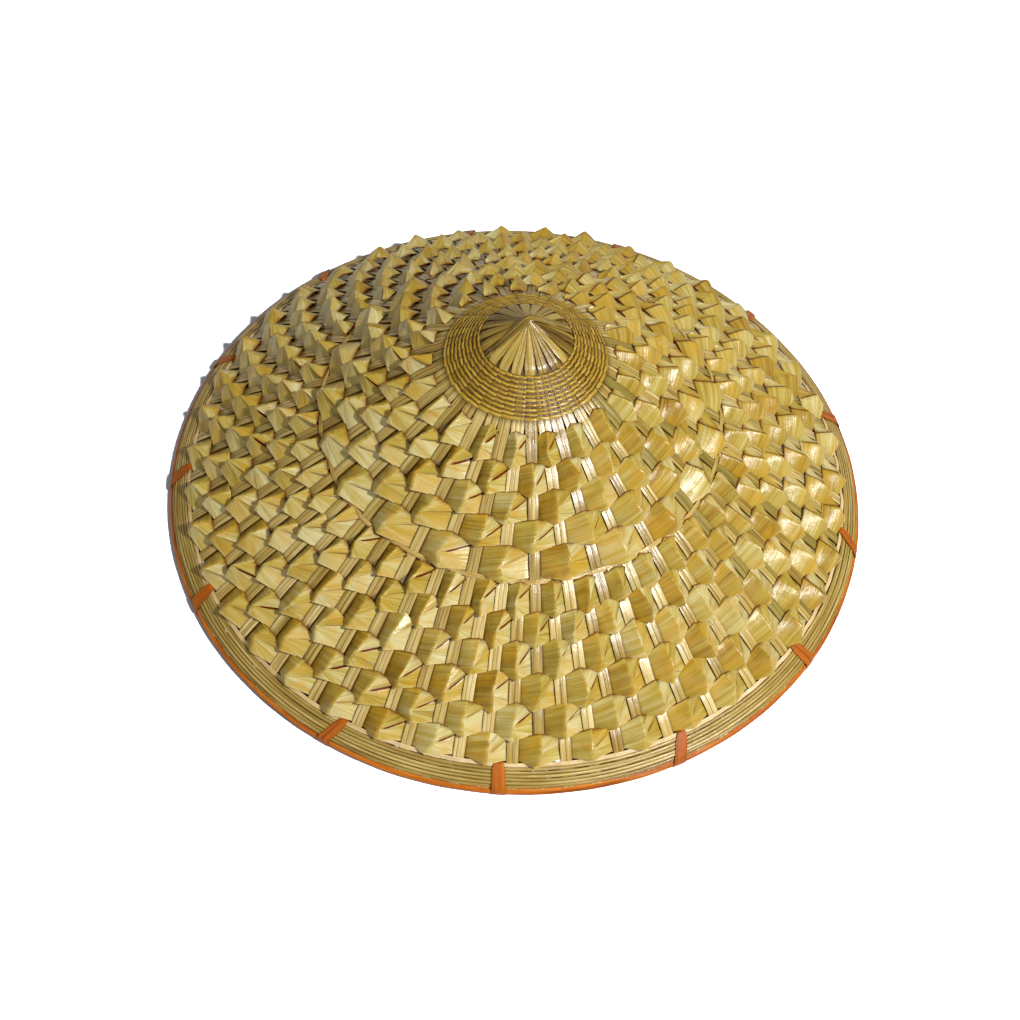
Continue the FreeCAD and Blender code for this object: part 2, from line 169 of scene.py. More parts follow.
class Bag:
    """Collects closed pieces and turns them into one mesh object."""

    def __init__(self):
        self.verts, self.faces, self.uvs, self.tints, self.edge_shades = [], [], [], [], []
        self.count = 0

    def add(self, verts, faces, uvs, tint, edge_and_shade):
        """faces (m,4), uvs (m,4,2), one tint or (m,3), edge lines and painted shade (m,4)."""
        self.verts.append(verts)
        self.faces.append(faces + self.count)
        self.uvs.append(uvs)
        tint = np.broadcast_to(np.asarray(tint, float), (len(faces), 3))
        self.tints.append(np.repeat(tint[:, None], 4, 1))
        self.edge_shades.append(edge_and_shade)
        self.count += len(verts)

    def sheet(self, verts, quads, thick, uv, tint, offset, edge, inside=1.0):
        """A sheet given by its outer face; uv, edge lines and painted shade are given per face
        corner.
        """
        count, total = len(verts), len(quads)
        face_normals = np.cross(verts[quads[:, 2]] - verts[quads[:, 0]],
                                verts[quads[:, 3]] - verts[quads[:, 1]])
        normals = np.zeros((count, 3))
        for corner in range(4):
            np.add.at(normals, quads[:, corner], face_normals)
        inner = verts - unit(normals) * thick
        uv = uv + np.broadcast_to(np.asarray(offset, float), (total, 2))[:, None]
        # the sides stand on the edges that no neighbour runs back along
        start, end = quads.ravel(), np.roll(quads, -1, 1).ravel()
        is_open = ~np.isin(start * (count + 1) + end, end * (count + 1) + start)
        start, end = start[is_open], end[is_open]
        owner = np.repeat(np.arange(total), 4)[is_open]
        corner = np.tile(np.arange(4), total)[is_open]

        def with_sides(front, back):
            a, b = front[owner, corner], front[owner, (corner + 1) % 4]
            return np.concatenate([front, back, np.stack([b, a, a, b], 1)])

        sides = np.stack([end, start, start + count, end + count], 1)
        faces = np.concatenate([quads, quads[:, ::-1] + count, sides])
        tint = np.broadcast_to(np.asarray(tint, float), (total, 3))
        self.add(np.concatenate([verts, inner]), faces, with_sides(uv, uv[:, ::-1]),
                 np.concatenate([tint, tint, tint[owner]]),
                 with_sides(edge, edge[:, ::-1] * inside))

    def grid(self, points, thick, along, across, tint, offset, closed=False, edge=0.0):
        """A strip from a net of points: first axis along the splint, second across it."""
        quads = quad_net(*points.shape[:2], closed, False)
        edge = np.broadcast_to(edge, points.shape[:2]).reshape(-1)[quads]
        self.sheet(points.reshape(-1, 3), quads, thick, pairs(along, across)[quads],
                   tint, offset, edge)

    def solid(self, verts, faces, uv, tint):
        """A closed mesh with a UV pair per vertex and no edge lines or painted shade."""
        self.add(verts, faces, uv[faces], tint, np.zeros(faces.shape))

    def ring(self, points, along, across, tint, flip=False):
        """A net of points closed both ways, such as a profile carried round an axis."""
        quads = quad_net(*points.shape[:2], True, True)
        if flip:
            quads = turned_over(quads)
        self.solid(points.reshape(-1, 3), quads, pairs(along, across), tint)

    def tube(self, path, radius, sides=8, closed=False, tint=(0.5, 0.5, 0.5)):
        count = len(path)
        tangent, normal, untwist = carried_frame(path, (0, 0, 1), closed)
        normal = (normal * np.cos(untwist)[:, None]
                  + np.cross(tangent, normal) * np.sin(untwist)[:, None])
        binormal = np.cross(tangent, normal)
        radius = np.broadcast_to(np.asarray(radius, float), (count,))
        angle = 2 * np.pi * np.arange(sides) / sides
        section = (normal[:, None] * np.cos(angle)[None, :, None]
                   + binormal[:, None] * np.sin(angle)[None, :, None])
        verts = (path[:, None] + section * radius[:, None, None]).reshape(-1, 3)
        run = distances(path)
        uv = pairs(run[:, None], (angle * radius.mean())[None])
        quads = turned_over(quad_net(count, sides, closed, True))
        if not closed:      # each end is a low point joined to the last ring by a fan
            first, last = len(verts), len(verts) + 1
            ends = [path[0] - tangent[0] * radius[0] * 0.35,
                    path[-1] + tangent[-1] * radius[-1] * 0.35]
            verts = np.concatenate([verts, ends])
            uv = np.concatenate([uv, [[0, 0], [run[-1], 0]]])
            base = (count - 1) * sides
            caps = []
            for k in range(0, sides, 2):
                k2 = (k + 2) % sides
                caps.append([first, k2, k + 1, k])
                caps.append([last, base + k, base + k + 1, base + k2])
            quads = np.concatenate([quads, caps])
        self.solid(verts, quads, uv, tint)

    def rope(self, points, radius, turns_per_mm, step, closed=False, phase=0.0):
        """Three strands laid in a helix round a rounded path."""
        points = np.asarray(points, float)
        if closed:
            points = np.concatenate([points, points[:1]])
        corner_run = distances(points)
        length = corner_run[-1]
        run = np.linspace(0, length, max(int(length / step), 8) + 1)
        if closed:
            run = run[:-1]
        path = np.stack([np.interp(run, corner_run, points[:, k]) for k in range(3)], 1)
        for _ in range(4):      # round the corners
            if closed:
                path = (np.roll(path, 1, 0) + 2 * path + np.roll(path, -1, 0)) / 4
            else:
                path[1:-1] = (path[:-2] + 2 * path[1:-1] + path[2:]) / 4
        tangent, normal, untwist = carried_frame(path, (0.3, 0.2, 1.0), closed)
        binormal = np.cross(tangent, normal)
        turns = length * turns_per_mm
        if closed:
            turns = round(turns)
        lay = 2 * np.pi * turns * run / length + untwist
        strands = 3
        strand_radius = radius * 0.56
        for k in range(strands):
            angle = lay + 2 * np.pi * k / strands + phase
            around_path = normal * np.cos(angle)[:, None] + binormal * np.sin(angle)[:, None]
            self.tube(path + around_path * (radius - strand_radius), strand_radius,
                      sides=6, closed=closed)

    def make_object(self, name, material, slot, replaces, body="hat", sharp=38.0):
        """Build the mesh; sharp is the crease angle in degrees."""
        verts = np.concatenate(self.verts) * MM
        faces = np.concatenate(self.faces)
        mesh = bpy.data.meshes.new(name)
        mesh.vertices.add(len(verts))
        mesh.vertices.foreach_set("co", verts.ravel().astype(np.float32))
        mesh.loops.add(faces.size)
        mesh.loops.foreach_set("vertex_index", faces.ravel().astype(np.int32))
        mesh.polygons.add(len(faces))
        starts = np.arange(len(faces)) * 4
        mesh.polygons.foreach_set("loop_start", starts.astype(np.int32))
        mesh.update(calc_edges=True)
        mesh.validate()
        mesh.polygons.foreach_set("use_smooth", np.ones(len(faces), bool))
        uv = np.concatenate(self.uvs) * 0.01      # 0.01 of a UV unit is 1 mm
        layer = mesh.uv_layers.new(name="UVMap")
        layer.data.foreach_set("uv", uv.ravel().astype(np.float32))
        tint = np.concatenate(self.tints)
        color = np.concatenate([tint, np.ones(tint.shape[:2] + (1,))], -1)
        attribute = mesh.attributes.new("tint", "FLOAT_COLOR", "CORNER")
        attribute.data.foreach_set("color", color.ravel().astype(np.float32))
        edge_and_shade = np.concatenate(self.edge_shades)
        attribute = mesh.attributes.new("edge_and_shade", "FLOAT", "CORNER")
        attribute.data.foreach_set("value", edge_and_shade.ravel().astype(np.float32))
        mesh.set_sharp_from_angle(angle=math.radians(sharp))
        mesh.materials.append(material)
        obj = bpy.data.objects.new(name, mesh)
        bpy.context.scene.collection.objects.link(obj)
        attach(obj, body)
        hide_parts(replaces)


def grain_shift(rng):
    """A random place in the grain, in millimetres, so that no two strips look alike."""
    return rng.random() * 90, rng.random() * 60


# ------------------------------------------------------------------ materials
def lin(*rgb):
    """Linear RGBA from 0-255 sRGB."""
    out = []
    for c in rgb:
        c /= 255.0
        out.append(c / 12.92 if c <= 0.04045 else ((c + 0.055) / 1.055) ** 2.4)
    return (*out, 1.0)


class Nodes:
    """Short ways to write shader nodes; an input may be a socket or a plain value."""

    def __init__(self, tree):
        self.tree = tree

    def put(self, value, socket):
        if isinstance(value, (int, float, tuple)):
            socket.default_value = value
        else:
            self.tree.links.new(value, socket)

    def node(self, kind, inputs=(), **settings):
        node = self.tree.nodes.new(kind)
        for key, value in settings.items():
            setattr(node, key, value)
        for socket, value in dict(inputs).items():
            self.put(value, node.inputs[socket])
        return node

    def calc(self, operation, a, b, clamp=False):
        node = self.node("ShaderNodeMath", {0: a, 1: b}, operation=operation, use_clamp=clamp)
        return node.outputs[0]

    add = partialmethod(calc, "ADD")
    subtract = partialmethod(calc, "SUBTRACT")
    multiply = partialmethod(calc, "MULTIPLY")
    power = partialmethod(calc, "POWER")
    maximum = partialmethod(calc, "MAXIMUM")

    def mix_color(self, factor, a, b, blend="MIX"):
        # sockets 6, 7 and output 2 are the colour ones
        node = self.node("ShaderNodeMix", data_type="RGBA", blend_type=blend, clamp_factor=True)
        for socket, value in ((0, factor), (6, a), (7, b)):
            self.put(value, node.inputs[socket])
        return node.outputs[2]

    def ramp(self, factor, stops):
        node = self.node("ShaderNodeValToRGB", {0: factor})
        elements = node.color_ramp.elements
        while len(elements) > 1:
            elements.remove(elements[-1])
        for k, (position, color) in enumerate(stops):
            element = elements[0] if k == 0 else elements.new(position)
            element.position = position
            element.color = color if isinstance(color, tuple) else (color, color, color, 1)
        return node.outputs[0]

    def noise(self, vector, scale, detail, roughness, distortion=0.0):
        inputs = {"Scale": scale, "Detail": detail, "Roughness": roughness,
                  "Distortion": distortion, "Vector": vector}
        return self.node("ShaderNodeTexNoise", inputs).outputs["Fac"]

    def object_coords(self):
        return self.node("ShaderNodeTexCoord").outputs["Object"]

    def output(self, shader):
        self.node("ShaderNodeOutputMaterial", {0: shader})


def new_material(name):
    material = bpy.data.materials.new(name)
    material.use_nodes = True
    material.node_tree.nodes.clear()
    return material, Nodes(material.node_tree)


OLIVE_GREEN = (122, 112, 40)


def bamboo(name, dark, mid, light, orange, orange_amt=0.35, rough=0.34, glow=0.2,
           edge_col=(222, 200, 132), edge_amt=0.5, coat=0.3, coat_rough=0.24, spec=0.5,
           bump=1.0, lumps=1.6, freq=1.0, crown=None, shade_color=(84, 34, 8),
           vary=0.42, fine_amt=0.75, wide_amt=0.85):
    """Split bamboo with fibre streaks along the strip.

    dark, mid, light: streak colours; crown: the same three near the peak
    orange, orange_amt: warm patches and their strength; glow: light let through
    edge_col, edge_amt: edge line colour and strength; shade_color: colour of painted shade
    bump, lumps: relief depth and its share of broad lumps; freq: how narrow the fibres are
    vary: tone from strip to strip; fine_amt, wide_amt: strength of thin and broad streaks
    """
    material, s = new_material(name)
    uv_map = s.node("ShaderNodeUVMap", uv_map="UVMap").outputs[0]
    tint = s.node("ShaderNodeAttribute", attribute_name="tint").outputs["Color"]
    edge_and_shade = s.node("ShaderNodeAttribute", attribute_name="edge_and_shade").outputs["Fac"]
    channels = s.node("ShaderNodeSeparateColor", {0: tint})
    tone, zone, hue = channels.outputs[0], channels.outputs[1], channels.outputs[2]
    uv = s.node("ShaderNodeSeparateXYZ", {0: uv_map})
    along, across = uv.outputs[0], uv.outputs[1]

    def grain(scale_along, scale_across, seed, detail, roughness, distortion=0.0):
        vector = s.node("ShaderNodeCombineXYZ", {
            0: s.multiply(along, scale_along),
            1: s.multiply(across, scale_across),
            2: s.add(s.multiply(tone, 37.0), seed),      # each tone gets its own grain
        })
        return s.noise(vector.outputs[0], 1.0, detail, roughness, distortion)

    fine = grain(2.2, 170 * freq, seed=1.0, detail=4.0, roughness=0.62)      # 0.6 mm fibres
    wide = grain(3.0, 40 * freq, seed=5.0, detail=2.0, roughness=0.5)        # 2.5 mm bands
    patch = grain(8.0, 13.0, seed=9.0, detail=2.0, roughness=0.5, distortion=0.6)   # 1 cm
    lines = grain(1.2, 70 * freq, seed=13.0, detail=3.0, roughness=0.6)

    def centred(value, amount):
        return s.multiply(s.subtract(value, 0.5), amount)

    # streaks and tone pick a place between the dark and the light colour
    shade = s.add(centred(fine, fine_amt), centred(wide, wide_amt))
    shade = s.add(s.add(shade, centred(tone, vary)), 0.5)

    def streaks(colors):
        return s.ramp(shade, list(zip((0.22, 0.50, 0.80), [lin(*c) for c in colors])))

    color = streaks((dark, mid, light))
    # warm patches: threshold 0.47, edge steepness 5
    warm = s.subtract(s.add(patch, centred(hue, 0.35)), 0.47)
    warm = s.multiply(s.multiply(warm, 5.0, clamp=True), orange_amt)
    color = s.mix_color(warm, color, lin(*orange))
    # strips with a hue below 0.2 turn olive
    olive = s.multiply(s.subtract(0.2, hue), 7.0, clamp=True)
    color = s.mix_color(s.multiply(olive, 0.62), color, lin(*OLIVE_GREEN))
    if crown:
        color = s.mix_color(zone, color, streaks(crown))
    # thin brown fibre lines
    thin = s.ramp(lines, [(0.30, 1.0), (0.40, 0.0)])
    color = s.mix_color(s.multiply(thin, 0.45), color, lin(*[c * 0.55 for c in dark]))
    # positive values colour the very edge; negative values are painted shade, spread more widely
    edge_line = s.power(s.maximum(edge_and_shade, 0.0), 5.0)
    color = s.mix_color(s.multiply(edge_line, edge_amt), color, lin(*edge_col))
    shaded = s.power(s.maximum(s.multiply(edge_and_shade, -1.0), 0.0), 1.5)
    color = s.mix_color(shaded, color, lin(*shade_color))

    unshaded = s.subtract(1.0, s.multiply(shaded, 0.92))      # painted shade loses its shine
    relief = s.add(s.multiply(fine, 0.6), s.multiply(wide, 1.3))
    lump = s.noise(s.object_coords(), scale=240.0, detail=2.0, roughness=0.5)
    relief = s.add(relief, s.multiply(lump, lumps))
    normal = s.node("ShaderNodeBump", {
        "Strength": 0.9, "Distance": 0.00036 * bump, "Height": relief}).outputs[0]
    skin = s.node("ShaderNodeBsdfPrincipled", {
        "Base Color": color,
        "Roughness": s.add(s.multiply(fine, 0.30), rough - 0.15),
        "IOR": 1.5,
        "Specular IOR Level": s.multiply(unshaded, spec),
        "Coat Weight": s.multiply(unshaded, coat),
        "Coat Roughness": coat_rough,
        "Normal": normal,
        "Coat Normal": normal,
    }).outputs[0]
    if glow > 0:
        through = s.mix_color(1.0, color, lin(255, 176, 60), "MULTIPLY")
        lit = s.node("ShaderNodeBsdfTranslucent", {"Color": through, "Normal": normal})
        skin = s.node("ShaderNodeMixShader", {0: glow, 1: skin, 2: lit.outputs[0]}).outputs[0]
    s.output(skin)
    return material


def cotton_cord():
    material, s = new_material("twisted_cotton_cord")
    uv_map = s.node("ShaderNodeUVMap", uv_map="UVMap").outputs[0]
    twist = s.node("ShaderNodeTexWave", {"Scale": 60.0, "Distortion": 2.0, "Vector": uv_map},
                   wave_type="BANDS", bands_direction="DIAGONAL").outputs["Fac"]
    coords = s.object_coords()
    fuzz = s.noise(coords, scale=1600.0, detail=4.0, roughness=0.7)
    dirt = s.noise(coords, scale=60.0, detail=2.0, roughness=0.5)
    color = s.ramp(fuzz, [(0.3, lin(96, 78, 52)), (0.55, lin(150, 126, 88)),
                          (0.75, lin(190, 168, 128))])
    color = s.mix_color(s.multiply(dirt, 0.4), color, lin(104, 80, 50))
    bump = s.node("ShaderNodeBump", {
        "Strength": 0.8, "Distance": 0.00025, "Height": s.add(twist, fuzz)})
    cotton = s.node("ShaderNodeBsdfPrincipled", {
        "Base Color": color, "Roughness": 0.86, "Sheen Weight": 0.4,
        "Normal": bump.outputs[0]})
    s.output(cotton.outputs[0])
    return material


# the dark brown shade colours given below paint shade into slits, gaps and strips lying under
# other splints
WEFT = bamboo(
    "bamboo_folded_weft", dark=(156, 116, 6), mid=(189, 166, 70), light=(221, 213, 160),
    orange=(204, 156, 20), orange_amt=0.5, rough=0.34, glow=0.19, coat=0.45, coat_rough=0.25,
    vary=0.5, fine_amt=0.60, wide_amt=0.62, shade_color=(104, 40, 0), lumps=0.8)
STAKE = bamboo(
    "bamboo_radial_splints", dark=(136, 108, 38), mid=(189, 163, 88), light=(224, 204, 144),
    orange=(180, 140, 50), orange_amt=0.3, rough=0.31, glow=0.12, coat=0.5, vary=0.6,
    crown=((86, 60, 10), (144, 116, 36), (188, 162, 82)), shade_color=(62, 34, 4), lumps=0.5,
    bump=0.8)
TWINE = bamboo(
    "bamboo_fine_twining", dark=(112, 80, 8), mid=(166, 134, 34), light=(202, 174, 74),
    orange=(160, 112, 10), rough=0.27, glow=0.04, spec=0.4, shade_color=(88, 44, 4), lumps=0.8)
BINDER = bamboo(
    "bamboo_binder_splint", dark=(150, 118, 40), mid=(200, 170, 92), light=(224, 200, 136),
    orange=(190, 140, 50), orange_amt=0.3, edge_amt=0.2)
BAND = bamboo(
    "bamboo_rim_splints", dark=(114, 88, 24), mid=(158, 132, 56), light=(198, 174, 108),
    orange=(148, 104, 22), glow=0.06, shade_color=(52, 28, 4), lumps=0.6)
FILLER = bamboo(
    "bamboo_rim_filler", dark=(176, 140, 78), mid=(220, 194, 142), light=(238, 220, 178),
    orange=(206, 160, 90), orange_amt=0.25, rough=0.42, glow=0.15, coat=0.15,
    edge_col=(130, 90, 40))
HOOP = bamboo(
    "brown_bamboo_hoop", dark=(118, 54, 0), mid=(186, 100, 8), light=(212, 130, 26),
    orange=(160, 78, 0), orange_amt=0.5, rough=0.45, glow=0.10, coat=0.05, spec=0.25,
    edge_amt=0.0)
LASHING = bamboo(
    "brown_rattan_lashing", dark=(110, 48, 0), mid=(158, 80, 0), light=(180, 100, 4),
    orange=(144, 66, 0), orange_amt=0.4, rough=0.48, glow=0.0, coat=0.04, spec=0.25,
    edge_col=(96, 40, 8), bump=0.7)
HEAD_RING = bamboo(
    "bamboo_head_ring", dark=(138, 102, 44), mid=(190, 156, 90), light=(214, 186, 126),
    orange=(176, 128, 56), orange_amt=0.3, rough=0.38, glow=0.05, edge_amt=0.3)
BEAD = bamboo(
    "turned_wood_bead", dark=(72, 36, 12), mid=(118, 66, 28), light=(150, 92, 46),
    orange=(100, 52, 18), orange_amt=0.4, rough=0.30, glow=0.0, coat=0.5, edge_amt=0.0,
    freq=0.5, bump=0.5)
CORD = cotton_cord()

# ------------------------------------------------------------------ folded weft rows
# A row is a chain of equal cells. A cell is a net of points given as share of the cell
# sideways, share of the row from its outer radius inwards, and height off the cone.
# Net rows run up the slope. At SLIT_ROW the right facet is cut: its lower part drops
# and tucks in under a lip.
SLIT_ROW = 4
NET_ROWS = 9
ROW = np.arange(NET_ROWS)
BELOW = np.clip(ROW / SLIT_ROW, 0, 1)                    # share of the way up to the slit
ABOVE = np.interp(ROW, SLIT_ROW + np.arange(5), [0, 0.34, 0.68, 0.89, 1.0])     # and beyond
LOWER_ROWS = np.array([0.0, 0.42, 0.78, 1.0])            # spacing below the slit, right facet

# net columns, from left to right as seen from outside
FOLD_LEFT, FOLD_RIGHT = 0.91, 0.09                       # where the crest's rounding meets them
LEFT_AT = [0.0, 0.065, 0.20, 0.40, 0.60, 0.78]           # left facet, foot to crest
CREST_AT = [0.0, 0.17, 0.34, 0.5, 0.66, 0.83]            # rounding of the crest
RIGHT_AT = [FOLD_RIGHT, 0.28, 0.48, 0.66, 0.82, 0.95]    # right facet, crest to foot
C_LEFT = 2                                               # two columns lie below the arm
C_CREST = C_LEFT + len(LEFT_AT)
C_RIGHT = C_CREST + len(CREST_AT)
C_SLIT = C_RIGHT + 1
C_EDGE = C_RIGHT + len(RIGHT_AT)
COLS = C_EDGE + 2                                        # column COLS starts the next cell


class WeftRow:
    def __init__(self, number, inner, outer):
        in_inner_zone = number <= INNER_ROWS
        self.number = number
        self.inner, self.outer = inner, outer
        self.count = ARMS // 2 if in_inner_zone else ARMS
        self.step = 360.0 / self.count
        # neighbouring rows are staggered by half a cell
        staggered = (number % 2 == 0) == in_inner_zone
        self.first = FIRST + (self.step / 2 if staggered else 0)
        self.arm_width = 5.6 if number == 1 else ARM_WIDTH
        self.fold_height = 0.88 if number == 1 else 1.0
        self.seed = 100 + number
        # millimetres per cell and per row
        self.size = np.array([math.radians(self.step) * (inner + outer) / 2,
                              (outer - inner) / COS_SLOPE])
        self.azimuths = (self.first + self.step * (np.arange(self.count) + 0.5)) % 360.0

    def radius(self, share):
        return self.outer - (self.outer - self.inner) * share

    def arm_share(self, share):
        """Half an arm, with a little play, as a share of the cell."""
        cell = math.radians(self.step) * self.radius(np.clip(share, 0, 1))
        return (self.arm_width / 2 + 0.1) / cell

    def to_space(self, net):
        start = self.first + self.step * np.arange(self.count)
        start = start.reshape((-1,) + (1,) * (net.ndim - 2))
        return on_cone(start + net[..., 0] * self.step, self.radius(net[..., 1]), net[..., 2])


def points(across, up, height):
    return np.stack(np.broadcast_arrays(across, up, height), -1)


def two_part(below, above):
    return np.where(ROW <= SLIT_ROW, below, above)


def fold_net(rng, row, azimuth):
    """One cell: its net, the hidden upper edge of the tucked facet, and the pleats' centre."""
    def vary(mean, spread, low, high):
        return np.clip(mean + rng.normal() * spread, low, high)

    # folds are pressed shut on the -X side and sprung open on the +X side
    shut = smooth((azimuth - 185.0) / 40.0) * (1 - smooth((azimuth - 318.0) / 30.0))
    sprung = smooth((azimuth - 25.0) / 30.0) * (1 - smooth((azimuth - 160.0) / 30.0))
    # the crest runs from its root, over the peak, to its tip
    peak_h = vary(8.0, 0.8, 6.4, 9.6) * row.fold_height
    peak_u = vary(0.50 - 0.12 * shut, 0.045, 0.32, 0.60)
    peak_v = vary(0.32, 0.10, 0.12, 0.56)
    tip_u = vary(0.54 - 0.11 * shut, 0.04, 0.36, 0.66)
    tip_v = 1.10 + rng.normal() * 0.035
    tip_h = vary(1.6 + 0.9 * shut, 0.45, 0.9, 4.0)
    root_u = vary(0.46 - 0.08 * shut, 0.04, 0.30, 0.56)
    root_v = -0.19 + rng.normal() * 0.035
    root_h = vary(4.7, 0.6, 3.2, 6.0)
    # the slit: its opening, how far the facet below it is bare, and its right end
    gap = vary(1.1, 0.5, 0.35, 2.6)
    if rng.random() < 0.15:
        gap += 0.8
    bare = -0.05
    if rng.random() < 0.72 - 0.62 * shut + 0.22 * sprung:
        bare = 0.065 + 0.05 * rng.random() + 0.06 * sprung * rng.random()
    slit_v = vary(0.87, 0.04, 0.74, 0.95)
    slit_h = vary(2.1 + gap * 0.45, 0.4, 1.2, 4.0)
    phase = rng.random(4) * 6.3

    start = points(0.0, two_part(0.03 + 0.83 * BELOW, 0.86 + 0.11 * ABOVE), -0.62)
    finish = start + np.array([1.0, 0, 0])
    foot_mid = np.clip(peak_v - 0.22, 0.08, 0.5)
    foot_v = two_part(mix(0.02, foot_mid, BELOW), mix(foot_mid, 0.975, ABOVE))
    foot = points(row.arm_share(foot_v), foot_v, -0.28)
    crest = points(
        two_part(mix(root_u, peak_u, BELOW), mix(peak_u, tip_u, ABOVE)),
        two_part(mix(root_v, peak_v, BELOW), mix(peak_v, tip_v, ABOVE)),
        two_part(mix(root_h, peak_h, BELOW ** 0.92), mix(peak_h, tip_h, ABOVE ** 1.15)))
    edge_v = two_part(mix(0.02, slit_v + 0.05, BELOW), mix(slit_v, 0.985, ABOVE))
    edge_arm = row.arm_share(edge_v)
    edge_up = points(1 - edge_arm * 0.9, edge_v, mix(slit_h, slit_h * 0.4, ABOVE))
    edge_low = points(1 - edge_arm, edge_v, mix(-0.2, -0.15, BELOW))
    edge_tuck = np.array([1 - row.arm_share(slit_v), slit_v + 0.05, -0.45])
    fan = np.array([peak_u - 0.16, peak_v - 0.10])

    def left(q):
        swell = math.sin(math.pi * q)
        net = mix(foot, crest, q)
        bulge = 0.76 * q + 0.24 * (1 - (1 - q) ** 1.7)
        net[:, 2] = mix(foot[:, 2], crest[:, 2], bulge)
        for end in (0, -1):
            net[end, 1] = mix(foot[end, 1], crest[end, 1], q ** 1.3)
        net[:, 2] += (0.22 * np.sin(2.6 * ROW / NET_ROWS + phase[1]) * swell
                      + 0.12 * np.sin(7 * q + phase[2] + ROW * 0.5) * swell)
        return net

    def right(q):
        """Right facet at share q, and its tucked edge there."""
        swell = math.sin(math.pi * q)
        net = mix(crest, edge_up, q)
        net[:, 2] -= 0.35 * swell * (1 - 0.3 * ABOVE)
        net[-1, 1] = mix(crest[-1, 1], edge_up[-1, 1], 1 - (1 - q) ** 1.3)
        # below the slit: welded to the lip near the crest, then a step down and tucked in
        lip = net[SLIT_ROW]
        drop = smooth((q - FOLD_RIGHT) / 0.28)
        face = lip.copy()
        face[1] -= mix(0.02, bare, drop)
        sunk = mix(crest[SLIT_ROW, 2], 0.0, q) - 0.35 * swell
        face[2] = max(min(mix(lip[2], sunk - gap * 0.2, drop), lip[2] - 0.6 * drop), -0.1)
        tuck = lip.copy()
        tuck[1] += 0.055 * drop
        tuck[2] = max(face[2] - 1.3 * drop * (1 - 0.55 * q), -0.45)
        bottom = mix(crest[0], edge_low[0], q)
        bottom[1] = mix(crest[0, 1], edge_low[0, 1], 1 - (1 - q) ** 1.5)
        net[:SLIT_ROW] = mix(bottom, face, LOWER_ROWS[:, None])
        net[1:3, 2] += np.array([0.32, 0.22]) * math.sin(math.pi * min(1, q * 1.1))
        # pleats fan out from beside the peak
        off_u, off_v = ((net[:, :2] - fan) * row.size).T
        reach = np.clip(np.hypot(off_u, off_v) / 5.0 - 0.3, 0, 1)
        net[:, 2] += 0.20 * np.sin(8.5 * np.arctan2(off_v, off_u) + phase[0]) * reach
        return net, tuck

    net = np.zeros((COLS + 1, NET_ROWS, 3))
    tucked = np.zeros((COLS, 3))
    net[0] = start
    net[1] = mix(start, foot, 0.55)
    for k, q in enumerate(LEFT_AT):
        net[C_LEFT + k] = left(q)
    crest_left, crest_right = left(FOLD_LEFT), right(FOLD_RIGHT)[0]
    for k, t in enumerate(CREST_AT):
        net[C_CREST + k] = (crest_left * (1 - t) ** 2 + crest * 2 * t * (1 - t)
                            + crest_right * t ** 2)
    for k, q in enumerate(RIGHT_AT):
        net[C_RIGHT + k], tucked[C_RIGHT + k] = right(q)
    edge_low[:SLIT_ROW, 1] = mix(edge_low[0, 1], slit_v - bare, LOWER_ROWS)
    net[C_EDGE] = edge_up
    net[C_EDGE, :SLIT_ROW] = edge_low[:SLIT_ROW]
    tucked[C_EDGE] = edge_tuck
    below_arm = 0.45
    net[C_EDGE + 1] = mix(net[C_EDGE], finish, below_arm)
    net[C_EDGE + 1, :, 2] = mix(net[C_EDGE, :, 2], finish[:, 2], 1 - (1 - below_arm) ** 2)
    tucked[C_EDGE + 1] = mix(edge_tuck, finish[SLIT_ROW], below_arm)
    net[COLS] = finish
    net[C_LEFT:C_EDGE, :, 2] += rng.normal(size=(1, NET_ROWS)) * 0.05
    return net, tucked, fan


def face_corners(net, low_edge):
    """The four corners of each face; faces just below the slit end on the low edge."""
    top = net[:, :, 1:].copy()
    top[:, :, SLIT_ROW - 1] = low_edge
    return np.stack([net[:, :-1, :-1], net[:, 1:, :-1], top[:, 1:], top[:, :-1]], axis=3)


